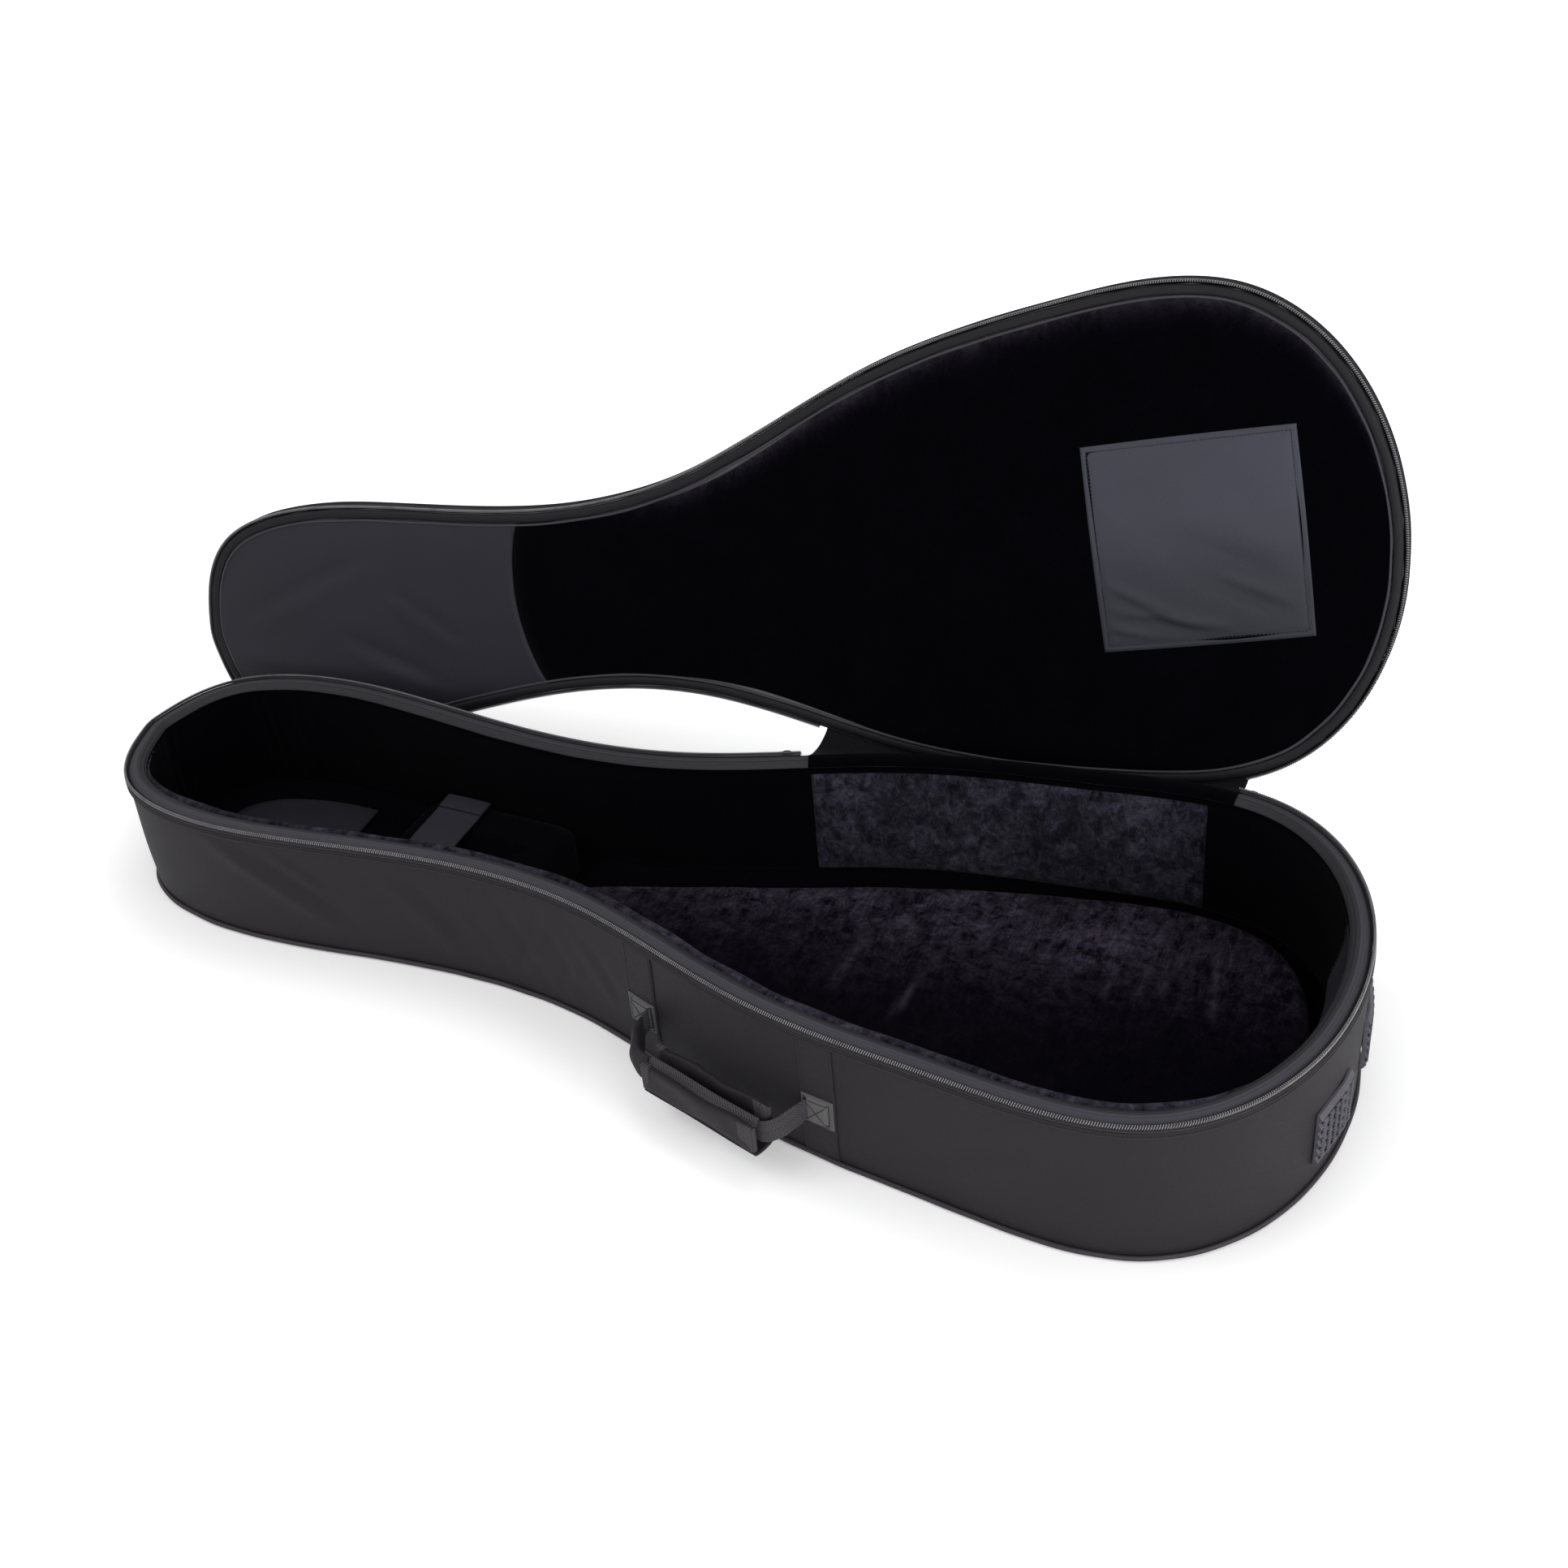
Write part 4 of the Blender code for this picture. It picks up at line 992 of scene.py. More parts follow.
def build_far_panel():
    """The padded panel on the far wall: full in its middle, thin at its edges, with slack folds."""
    span = (station_at(CASE, 0.06), station_at(CASE, 0.445))
    stations, along, total = even_stations(CASE, 0.0035, span)
    v = shares(34)
    s, z = stations[:, None], rise(0.017, below_rim(stations, 0.014), v)
    u = (along / total)[:, None]
    inset = np.minimum(np.minimum(u, 1.0 - u), np.minimum(v, 1.0 - v) * 0.45)
    edge = np.minimum(1.0, 14.0 * inset)
    out = wall_in(s, z) - 0.0006 - 0.0052 * np.sqrt(np.clip(edge, 0.0, 1.0))
    points = carried(CASE, s, out, z)
    slack = creases(points[..., 0], z, FAR_PANEL_FOLDS)
    out = out - edge * (slack + 0.001 * ripple(points, 0.05, 33)
                        + 0.0004 * ripple(points, 0.016, 34))
    # The panel is in the brighter plush copy: painted light on the wall that faces the front light.
    panel = grid_mesh("far_wall_panel", carried(CASE, s, out, z), "brushed_wall",
                      uv=(along, v * 0.13), flip=True)
    dress(thicken(panel), "case", "plush", "far_wall_pad")


def build_butt_guard(sizes):
    """The cloth flap inside the butt end: it hangs from the rim, and its lower edge is an arch."""
    span = (butt_station(0.088), station_at(CASE, 0.597, near=True))
    stations, along, total = even_stations(CASE, 0.003, span)
    u = along / total
    v = shares(26)
    high = below_rim(stations, 0.0145)
    arch = high - 0.047 * ease(u, -0.04, 0.16) ** 0.7 - 0.06 * ease(u, 0.44, 0.62)
    arch = np.clip(arch + 0.05 * ease(u, 0.8, 1.1), 0.0305, high - 0.002)
    s, z = stations[:, None], rise(arch, high, v)
    stand = 0.015 * ease(u, -0.02, 0.14) * (1.0 - ease(u, 0.5, 0.7))
    out = wall_in(s, z) - 0.001 - stand[:, None] * (1.0 - v) ** 1.2
    cloth = carried(CASE, s, out, z)
    guard = grid_mesh("butt_guard_cloth", cloth, "head_floor", uv=(along, v * 0.1), flip=True)
    dress(thicken(guard), "case", "nylon_grey", "butt_guard")
    z = arch + 0.004
    line = carried(CASE, stations, wall_in(stations, z) - 0.0012 - 0.93 * stand, z)
    sew("butt_guard_stitches", line, -level_normal(CASE, stations), "case", "nylon_grey", sizes)


# Rim and zippers

RIM_OUT = -0.0034
RIM_WIDE = 0.0178
CASE_TAPE = ((-0.0016, -0.0036), (-0.0002, -0.0046), (0.0004, -0.005), (0.0006, -0.0078),
             (0.0002, -0.0084), (-0.0012, -0.0084), (-0.0014, -0.006))
CASE_FACING = ((-0.0016, -0.0088), (0.0001, -0.0087), (0.0006, -0.0092), (0.0009, -0.0108),
               (0.001, -0.0136), (0.0006, -0.0147), (-0.0012, -0.0147), (-0.0014, -0.011))
LID_TAPE = ((-0.0022, 0.0034), (-0.0002, 0.0032), (0.0002, 0.0048), (0.0004, 0.009),
            (0.0006, 0.0128), (0.0002, 0.0152), (-0.0012, 0.0152), (-0.0014, 0.01))


def rim_profile(sizes):
    """Section of the rim cloth: up outside, over the wall in fine lengthwise ribs, down inside."""
    across = shares(61)
    crown = -0.0012 - 0.0044 * np.abs(2.0 * across - 1.0) ** 2.2
    ribs = 0.0006 * np.abs(np.sin(math.pi * across * RIM_WIDE / sizes.rib_pitch)) ** 0.7
    top = np.column_stack([RIM_OUT - RIM_WIDE * across, crown + ribs])
    lip = INNER_FACE - 0.002
    inside = [(lip + 0.0001, -0.0062), (lip + 0.0006, -0.0068), (-0.018, -0.0068),
              (-0.004, -0.0066)]
    return np.vstack([[(RIM_OUT, -0.0062)], top, inside])


def chain_span(control):
    """From the butt end of the hinge round the near side and the head to the hinge's other end."""
    return station_at(control, CHAIN_X[0]), station_at(control, CHAIN_X[1]) + len(control)


def coil(name, control, height, node, sizes):
    """The zipper's coil: a loop of wire repeated along the chain, each loop leaning forward."""
    turns = np.radians(np.linspace(-60.0, 240.0, 8))
    path = np.column_stack([0.38 * sizes.coil_pitch * np.cos(turns),
                            1.35 * sizes.coil_radius * np.cos(turns),
                            0.8 * sizes.coil_radius * np.sin(turns)])
    shape, faces = tube_shape(path, sizes.coil_wire, 5, (0.5, 1, 1, 1, 1, 1, 1, 0.5))
    span = chain_span(control)
    line, normal = line_on(control, span, sizes.coil_pitch, -0.0006, height)
    teeth = copies(name, shape, faces, line, np.gradient(line, axis=0), normal, "coil")
    dress(teeth, body_of(control), "zip_teeth", node)
    cord = oval((-0.0006, height), (0.0007, 0.0016), 6)
    sweep(name + "_cord", control, span, 0.006, cord, "tape", "zip_tape")


def build_case_rim(sizes):
    """The ribbed cloth over the wall, the zipper's tape, its facing, its coil and the stitches."""
    span = chain_span(CASE)
    sweep("case_rim_cloth", CASE, None, 0.0045, rim_profile(sizes), "ribbed", "nylon_grey",
          "rim_binding", wobble=0.00025, seed=5)
    sweep("case_zipper_tape", CASE, span, 0.004, CASE_TAPE, "tape", "zip_tape", "case_zip_tape",
          wobble=0.0002, seed=6)
    sweep("case_zipper_facing", CASE, None, 0.004, CASE_FACING, "nylon", "nylon",
          wobble=0.0003, seed=16)
    coil("case_zipper_coil", CASE, -0.0023, "case_zip_chain", sizes)
    line, normal = line_on(CASE, span, 0.004, 0.0008, -0.0056)
    seam = thread("case_coil_stitches", line, normal, "dark_thread", sizes.coil_pitch, 0.0015,
                  0.00045)
    dress(seam, "case", "zip_tape")
    line, normal = line_on(CASE, span, 0.004, 0.0013, -0.0122)
    sew("case_facing_stitches", line, normal, "case", "nylon", sizes)


def build_zipper_pulls():
    """The three sliders and their pull tabs: the frame's own solids with rounded edges."""
    for side in ("head", "butt"):
        pull = "pull_" + side
        fitted("zip_slider_" + side, "slider_" + side, "hardware", "case", "hardware", 0.0006)
        fitted("zip_pull_" + side, pull, "hardware", pull, "hardware", 0.0004)
    for name, node, width in (("pocket_zip_slider", "pocket_slider", 0.0006),
                              ("pocket_zip_pull", "pocket_pull", 0.0004)):
        fitted(name, node, "hardware", node, "hardware", width)


# Hinge

# Number of points along the hinge
HINGE_COUNT = 120


def hinge_strip(name, edges, shares, nodes):
    """One strip of the hinge cloth: ruled between the hinge's two edge curves, with a little sag.
    """
    x = np.linspace(*HINGE_X, HINGE_COUNT)
    t = np.linspace(*shares, 18)
    grid = between(*edges, t)
    grid[..., 2] -= 0.0062 * np.sin(math.pi * t) ** 0.8
    grid[..., 2] += 0.0006 * np.sin(math.pi * t) * ripple(grid, 0.02, 41)
    # The strips are in the near black hinge cloth: painted shade.
    made = thicken(grid_mesh(name, grid, "hinge", uv=(x, t * 0.06)), CLOTH, 0.0)
    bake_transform(made)
    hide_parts(*nodes)
    length = float(travelled(grid[:, 9])[-1]) * 1.01


def build_hinge():
    """The cloth hinge: a strip on each of its two fold lines, its end tabs and inner cover."""
    x = np.linspace(*HINGE_X, HINGE_COUNT)
    case_s = station_at(CASE, x)
    edges = (carried(CASE, case_s, -0.0085, -0.0009, True),
             opened(carried(LID, station_at(LID, x), -0.0012, 0.0036, True)))
    hinge_strip("hinge_gusset_case", edges, (0.0, HINGE_FOLD),
                ("hinge_case_edge", "hinge_strip"))
    hinge_strip("hinge_gusset_lid", edges, (HINGE_FOLD, 1.0),
                ("hinge_lid_edge",))
    # The end tabs are in the hinge cloth too: painted shade.
    for side in ("head", "butt"):
        fitted("hinge_end_tab_" + side, "hinge_tab_" + side, "hinge", "case", "webbing", 0.0009)

    share = np.linspace(0.03, 1.03, 24)
    crown = -0.0004 - 0.0046 * np.abs(2.0 * share - 1.0) ** 2.4
    grid = carried(CASE, case_s[:, None], RIM_OUT - RIM_WIDE * share, crown, True)
    cover = grid_mesh("hinge_rim_cover", grid, "plush", uv=(x, share * 0.018), flip=True)
    dress(thicken(cover, 0.0008), "case", "plush")


# Furniture inside

# Cushion's side from its foot up, and the part of the middle line that its top runs in to
PAD_ROWS = np.array([(-0.003, 0.0168), (-0.0004, 0.0215), (0.0, 0.027), (-0.0004, 0.033),
                     (-0.0024, 0.0378), (-0.007, 0.0402), (-0.014, 0.0412)])
PAD_MIDDLE = (-0.09, 0.45)
# Dents, each with its start, stop and depth, and streaks of painted highlight along creases in the
# pile
PAD_DENTS = (
    ((0.3, 0.13), (0.36, -0.06), 0.0018),
    ((0.4, 0.14), (0.42, 0.0), 0.0015),
    ((0.2, 0.08), (0.26, -0.05), 0.0014),
    ((0.09, 0.06), (0.13, -0.04), 0.001),
    ((0.47, 0.1), (0.5, -0.05), 0.0014),
)
PAD_STREAKS = (
    ((0.162, 0.028), (0.16, -0.045)), ((0.235, 0.002), (0.227, -0.061)),
    ((0.39, 0.136), (0.401, 0.035)), ((0.427, 0.127), (0.428, 0.036)),
    ((0.455, 0.137), (0.449, 0.053)), ((0.482, 0.126), (0.501, 0.032)),
)


def places_of(obj):
    """The places of an object's points, one row each."""
    places = np.empty(len(obj.data.vertices) * 3)
    obj.data.vertices.foreach_get("co", places)
    return places.reshape(-1, 3)


def move_to(obj, places):
    """Puts an object's points at new places."""
    obj.data.vertices.foreach_set("co", places.ravel())
    obj.data.update()


def simulate_pad(obj, swell, frames=20):
    """Fills a closed cushion: cloth with inner pressure, with the movement of each point capped."""
    before = places_of(obj)
    cloth = obj.modifiers.new("Filling", "CLOTH")
    cloth.settings.use_pressure = True
    cloth.settings.uniform_pressure_force = 4.0
    cloth.settings.effector_weights.gravity = 0.0
    cloth.settings.quality = 5
    scene = bpy.context.scene
    for number in range(1, frames + 1):
        scene.frame_set(number)
    after = places_of(obj.evaluated_get(bpy.context.evaluated_depsgraph_get()))
    obj.modifiers.remove(cloth)
    scene.frame_set(1)
    move = after - before
    size = np.linalg.norm(move, axis=1, keepdims=True)
    move *= np.minimum(1.0, swell / np.maximum(size, 1e-9))
    move_to(obj, before + move)


def build_floor_pad():
    """The raised cushion under the instrument's body, crowned and dented, with painted highlight in
    streaks.
    """
    stations = even_stations(PAD, 0.006)[0]
    side = carried(PAD, stations[:, None], PAD_ROWS[:, 0], PAD_ROWS[:, 1])
    low, edge = side[:, 0, :2], side[:, -1, :2]
    under = between(low, middle_line(low, *PAD_MIDDLE), np.linspace(1.0, 0.0, 8)[:-1])
    top = between(edge, middle_line(edge, *PAD_MIDDLE), shares(26)[1:])
    grid = np.concatenate([at_height(under, PAD_ROWS[0, 1]), side,
                           at_height(top, PAD_ROWS[-1, 1])], axis=1)
    pad = settle(grid_mesh("floor_cushion", grid, "brushed", True), merge=0.0006)
    simulate_pad(pad, 0.0012)
    points = places_of(pad)
    high = ease(points[:, 2], 0.034, 0.04)
    flat = points * (1.0, 1.0, 0.0)
    points[:, 2] += high * (0.0011 * ripple(flat, 0.1, 51) + 0.0006 * ripple(flat, 0.035, 52))
    x, y = points[:, 0], points[:, 1]
    for dent in PAD_DENTS:
        points[:, 2] += high * crease(x, y, *dent, 0.0065)
    # Painted highlight: paler pile along thin creases, stored on the mesh.
    store_rub_and_highlight(pad, sum(high * np.maximum(0.0, crease(x, y, start, stop, 0.58, 0.004))
                  for start, stop in PAD_STREAKS))
    points[:, 2] = np.maximum(points[:, 2], 0.0167)
    move_to(pad, points)
    smooth = pad.modifiers.new("Smooth cloth", "SUBSURF")
    smooth.levels = 1
    smooth.render_levels = 1
    dress(pad, "case", "plush", "floor_pad")


def strap_piece(name, y_range, thickness, body, node, sizes):
    """A length of the neck strap with two rows of stitches along each edge, and those rows."""
    y = np.linspace(*y_range, 60)
    across = shares(17)
    wide = STRAP_X[1] - STRAP_X[0]
    grid_y, grid_x = np.meshgrid(y, STRAP_X[0] + wide * across, indexing="ij")
    z = STRAP_HEIGHT + 0.0004 * np.sin(math.pi * across) + 0.0002 * np.sin(grid_y * 120.0)
    made = grid_mesh(name, np.stack([grid_x, grid_y, z], axis=-1), "lining",
                     uv=(np.abs(y - y[0]), across * wide))
    dress(thicken(made, thickness), body, "webbing", node)
    rows = []
    for inset in (0.0035, 0.007):
        for x in (STRAP_X[0] + inset, STRAP_X[1] - inset):
            line = np.column_stack([np.full(60, x), y, np.full(60, STRAP_HEIGHT + 0.0004)])
            label = "%s_stitches_%d" % (name, len(rows) + 1)
            rows.append(sew(label, line, UP, body, "webbing", sizes))
    return made, rows


def build_cradle(sizes):
    """The neck cradle, a plush block with a round trough along the bag, and the strap over it."""
    floor = 0.0168
    x_range, half = (-0.345, -0.165), 0.078
    boundary = rounded_path(x_range, (-half, half), 0.03, 16)
    centre = np.array([0.5 * sum(x_range), 0.0])
    share = shares(34)
    flat = scaled(boundary, centre, share)
    drop = 0.009 * np.clip((share - 0.8) / 0.2, 0.0, 1.0) ** 2.4
    trough = np.sqrt(np.maximum(0.036 ** 2 - flat[..., 1] ** 2, 0.0)) - 0.022
    top = at_height(flat, 0.06 - drop - np.maximum(0.0, trough))
    share = shares(9)[1:]
    flat = scaled(boundary, centre, 1.0 + 0.006 * np.sin(math.pi * share))
    side = at_height(flat, top[:, -1:, 2] * (1.0 - share) + floor * share)
    grid = np.concatenate([top, side], axis=1)
    grid[..., 2] += 0.0004 * ripple(grid, 0.03, 61) * (grid[..., 2] > 0.02)
    block = settle(grid_mesh("neck_cradle", grid, "plush", True), merge=0.0002, caps=True)
    dress(block, "case", "plush", "cradle_block")

    strap, rows = strap_piece("neck_strap_cloth", (0.0512, -0.045), 0.0019, "neck_strap",
                              "neck_strap", sizes)
    strap_piece("neck_strap_anchor", (0.072, 0.0522), 0.0032, "case", "strap_anchor", sizes)
    fitted("strap_catch_pad", "strap_catch", "band", "case", "webbing", 0.0003, 2)


def build_head_patch(sizes):
    """The floor cloth under the headstock: straight at its seam, round at its other end."""
    seam_x, reach, half = -0.42, 0.151, 0.072
    turns = np.radians(np.linspace(-90.0, 90.0, 61))
    power = 2.0 / 2.4
    y = np.sign(turns) * half * np.abs(np.sin(turns)) ** power
    x = seam_x - reach * np.cos(turns) ** power
    seam = np.column_stack([np.full(len(y), seam_x), y])
    flat = between(np.column_stack([x, y]), seam, shares(18))
    grid = at_height(flat, 0.018)
    grid[..., 2] += 0.0005 * ripple(grid, 0.05, 63)
    patch = grid_mesh("head_floor_cloth", grid, "head_floor", uv=flat, flip=True)
    dress(thicken(patch), "case", "nylon_grey", "head_floor_patch")
    line = np.column_stack([(x + 0.495) * 0.95 - 0.495, y * 0.95, np.full(len(x), 0.0184)])
    sew("head_floor_stitches", line, UP, "case", "nylon_grey", sizes)


# Outside fittings

# Each layer of a bumper's rib: its height over the pad, and its size in shares of the rib's
RIB_LAYERS = ((-0.0008, 1.0), (0.0008, 0.97), (0.0013, 0.7))
BAND_HALF = 0.0175
# Step, length and radius of the stitches on the grey patches
PATCH_STITCH = (0.0026, 0.0022, 0.0004)


def build_bumpers():
    """Two rubber pads on the butt end, each with a border and ribs that run across."""
    ring = rounded_path((-0.003, 0.003), (-0.0011, 0.0011), 0.0008, 2)
    rib = np.vstack([at_height(ring * scale, height) for height, scale in RIB_LAYERS])
    count = len(ring)
    k = np.arange(count)
    ahead = (k + 1) % count
    around = np.vstack([np.column_stack([a + k, a + ahead, a + count + ahead, a + count + k])
                        for a in (0, count)])
    for side in ("far", "near"):
        fitted("rubber_bumper_" + side, "bumper_" + side, "rubber", "case", "rubber", 0.0006, 2)
        places = butt_station(np.linspace(0.037, 0.087, 6))
        if side == "near":
            places = len(CASE) - 1 - places
        s, z = (a.ravel() for a in np.meshgrid(places, np.linspace(0.0385, 0.0835, 13),
                                               indexing="ij"))
        normal = level_normal(CASE, s)
        ribs = copies("rubber_studs_" + side, rib, around, carried(CASE, s, 0.0047, z),
                      np.cross(normal, UP), normal, "rubber")
        dress(settle(ribs, caps=True), "case", "rubber")


def build_bands(sizes):
    """The two bands up the near side, each sewn along both edges, with a grey patch on it."""
    for name, x in BANDS:
        span = [station_at(CASE, x + edge, near=True) for edge in (BAND_HALF, -BAND_HALF)]
        low, top = 0.0045, float(rim(x)) - 0.0146
        stations, along, _ = even_stations(CASE, 0.003, span)
        z = low + (top - low) * shares(max(3, int(round((top - low) / 0.004))))
        s = stations[:, None]
        grid = carried(CASE, s, side_out(s, z) + 0.0012, z)
        band = grid_mesh("side_band_" + name, grid, "band", uv=(along, z))
        dress(thicken(band), "case", "nylon", "band_" + name)
        for tag, edge in (("a", 0.0025), ("b", 0.0325)):
            s = station_at(CASE, x + BAND_HALF - edge, near=True)
            z = np.linspace(0.007, top - 0.001, 60)
            line = carried(CASE, s, side_out(s, z) + 0.0013, z)
            sew("side_band_%s_stitches_%s" % (name, tag), line, level_normal(CASE, s), "case",
                "nylon", sizes)
        build_sewn_patch(name, x)


def on_patch(x, dx, z, lift=0.0):
    """Places on a sewn patch, which is raised over the end of the webbing under it."""
    over = (ease(0.0114 - np.abs(dx), 0.0, 0.003)
            * ease(0.0148 - np.abs(z - LUG_HEIGHT), 0.0, 0.003))
    s = station_at(CASE, x + dx, near=True)
    return carried(CASE, s, side_out(s, z) + (0.0023 + 0.0031 * over) + lift, z)


def patch_frame(inset):
    """Corners of a frame sewn this far inside a patch's edge."""
    wide, low, high = PATCH_HALF - inset, PATCH_Z[0] + inset, PATCH_Z[1] - inset
    return [(wide, low), (wide, high), (-wide, high), (-wide, low), (wide, low)]


def build_sewn_patch(name, x):
    """One grey patch: cloth over the webbing's end, sewn with two frames, a cross and a bar."""
    dx, z = np.meshgrid(np.linspace(-PATCH_HALF, PATCH_HALF, 40), np.linspace(*PATCH_Z, 42),
                        indexing="ij")
    patch = grid_mesh("grey_patch_" + name, on_patch(x, dx, z), "vinyl", uv=(dx[:, 0], z[0]),
                      flip=True)
    dress(thicken(patch, 0.0011), "case", "vinyl_grey", "anchor_patch_" + name,
          "handle_lug_" + name)
    bar = 0.0128 if name == "head" else -0.0128
    rows = {
        "frame_outer": patch_frame(0.0016),
        "frame_inner": patch_frame(0.0042),
        "bar": [(bar, 0.0455), (bar, 0.075)],
        "cross_up": [(-0.0108, 0.0485), (0.0108, 0.072)],
        "cross_down": [(-0.0108, 0.072), (0.0108, 0.0485)],
    }
    up = level_normal(CASE, station_at(CASE, x, near=True))
    for label, corners in rows.items():
        flat = resample([(a, b, 0.0) for a, b in corners], 0.0008)
        line = on_patch(x, flat[:, 0], flat[:, 1], 0.0002)
        material = "thread" if label == "frame_outer" else "dark_thread"
        row = thread("grey_patch_%s_%s" % (name, label), line, up, material, *PATCH_STITCH)
        dress(row, "case", "vinyl_grey")


# Handle: distances along it, outward and up from the middle of its swing axis

# Webbing from its end to near its middle, its root on the case, and the sleeve at its head end
HANDLE_HALF = np.array([(0.093, 0.0, 0.0), (0.0905, 0.0075, -0.002), (0.0855, 0.018, -0.0065),
                        (0.077, 0.0275, -0.0095), (0.066, 0.03, -0.01),
                        (0.03, 0.0308, -0.0108)])
HANDLE_MIDDLE = [(0.0, 0.031, -0.011)]
HANDLE_ROOT = np.array([(0.101, -0.0088, 0.0), (0.0965, -0.0082, 0.0), (0.0943, -0.006, 0.0),
                        (0.0932, -0.0025, 0.0), (0.0927, 0.0012, -0.0004)])
SLEEVE_PATH = np.array([(-0.0915, 0.006, -0.002), (-0.087, 0.015, -0.006),
                        (-0.079, 0.026, -0.01), (-0.068, 0.03, -0.012),
                        (-0.0575, 0.0305, -0.0115)])
HEADWARD = (-1.0, 1.0, 1.0)

# Grip: its length and place along the handle, how far out it lies and where its flaps stand
GRIP_LONG = 0.132
GRIP_SHIFT = 0.01
GRIP_OUT = 0.03
GRIP_FLOOR = -0.026
FLAP_FOOT = GRIP_FLOOR + 0.0019


def handle_axes():
    """Middle of the swing axis, and unit vectors along it, outward and up."""
    ends = outline(CASE, station_at(CASE, [x for _, x in BANDS], near=True))
    along = unit(ends[1] - ends[0])
    out = np.array([along[1], -along[0]])
    middle = 0.5 * (ends[0] + ends[1]) + out * 0.0115
    return np.array([*middle, LUG_HEIGHT]), at_height(along, 0.0), at_height(out, 0.0), np.array(UP)


def on_handle(u, v, w):
    """Places in space from their distances along the handle, outward and up."""
    centre, along, out, up = handle_axes()
    u, v, w = (np.asarray(value, float)[..., None] for value in (u, v, w))
    return centre + along * u + out * v + up * w


def smooth_path(points, count):
    """A Catmull-Rom curve through the points, sampled at equal steps of its parameter."""
    padded = np.vstack([2 * points[0] - points[1], points, 2 * points[-1] - points[-2]])
    t = np.linspace(0.0, len(points) - 1 - 1e-9, count)
    k = np.floor(t).astype(int)
    f = (t - k)[:, None]
    p0, p1, p2, p3 = (padded[k + shift] for shift in range(4))
    return 0.5 * (2 * p1 + (p2 - p0) * f + (2 * p0 - 5 * p1 + 4 * p2 - p3) * f ** 2
                  + (3 * p1 - p0 - 3 * p2 + p3) * f ** 3)


def flat_strap(name, centre, width_way, width, thick, body, *nodes):
    """A webbing strap: a path of centres, the direction across it, and a squared oval section."""
    run = unit(np.gradient(centre, axis=0))
    across = np.broadcast_to(width_way, centre.shape)
    across = unit(across - run * (across * run).sum(axis=1, keepdims=True))
    face = np.cross(run, across)
    turn = full_turn(24)
    a = squared_off(np.cos(turn), 0.45) * width / 2.0
    b = squared_off(np.sin(turn), 0.55) * thick / 2.0
    grid = (centre[:, None, :] + across[:, None, :] * a[None, :, None]
            + face[:, None, :] * b[None, :, None])
    obj = grid_mesh(name, grid, "webbing", False, True, (travelled(centre), np.append(a, a[0])))
    return dress(settle(obj, caps=True), body, "webbing", *nodes)


def build_handle():
    """The carry handle: herringbone webbing, its roots on the case and a puffed sleeve."""
    up = np.array(UP)
    half = np.vstack([HANDLE_HALF * HEADWARD, HANDLE_MIDDLE, HANDLE_HALF[::-1]])
    path = smooth_path(on_handle(*half.T), 160)
    flat_strap("handle_webbing_strap", path, up, 0.0252, 0.0026, "handle", "handle_webbing")
    for name, root in (("head", HANDLE_ROOT * HEADWARD), ("butt", HANDLE_ROOT)):
        path = smooth_path(on_handle(*root.T), 30)
        flat_strap("handle_root_" + name, path, up, 0.025, 0.0024, "case")

    path = smooth_path(on_handle(*SLEEVE_PATH.T), 40)
    face = unit(np.cross(unit(np.gradient(path, axis=0)), up))[:, None, :]
    turn = full_turn(28)
    arch = np.sin(math.pi * shares(40))[:, None]
    wide, deep = 0.0158 + 0.0022 * arch, 0.003 + 0.0036 * arch ** 0.8
    grid = (path[:, None, :] + up * (wide * np.cos(turn))[..., None]
            + face * (deep * np.sin(turn))[..., None])
    grid += face * (0.001 * ripple(grid, 0.018, 71))[..., None]
    sleeve = grid_mesh("handle_sleeve", grid, "nylon", False, True,
                       (travelled(path), np.arange(29) * 0.0026))
    dress(settle(sleeve, caps=True), "handle", "nylon")


def grip_flap(name, side, tall):
    """One upright flap of the grip, padded and waved along its top, with its two end bindings."""
    _, along, out, _ = handle_axes()
    u = GRIP_SHIFT + np.linspace(-GRIP_LONG / 2, GRIP_LONG / 2, 80)
    turn = full_turn(40)
    a, b = squared_off(np.cos(turn), 0.35), squared_off(np.sin(turn), 0.7)
    edge = (1.0 - np.abs(2.0 * (u - GRIP_SHIFT) / GRIP_LONG) ** 18)[:, None]
    share = 0.5 + 0.5 * a
    sway = 0.0016 * np.sin(u * 70.0 + side)[:, None] * share
    lean = 0.0034 * side * share * np.sin(u * 38.0 + 1.2 * side)[:, None]
    height = FLAP_FOOT + 0.5 * tall + a * (tall / 2.0) * (0.985 + 0.015 * edge)
    height = height - 0.0022 * edge * share * np.sin(u * 41.0 + 0.6)[:, None] ** 2
    middle = GRIP_OUT + side * 0.011
    off = middle + (0.0019 + 0.0017 * edge) * b + 0.4 * sway + 0.3 * lean
    grid = on_handle(u[:, None], off, height)
    grid = grid + out * (0.0007 * ripple(grid, 0.022, 73 + int(side)))[..., None]
    body = "grip_" + name
    flap = grid_mesh("grip_flap_" + name, grid, "nylon", False, True,
                     (u + GRIP_LONG, np.arange(41) * 0.0018))
    dress(settle(flap, caps=True), body, "nylon", body)
    for end, tag, broad in ((-1.0, "head", 0.0098), (1.0, "butt", 0.019)):
        place = GRIP_SHIFT + end * (GRIP_LONG / 2 + 0.0007 - broad / 2)
        line = on_handle(place, middle, FLAP_FOOT + np.linspace(0.001, tall - 0.0006, 30))
        flat_strap("grip_%s_binding_%s" % (name, tag), line, along, broad, 0.0066, body)


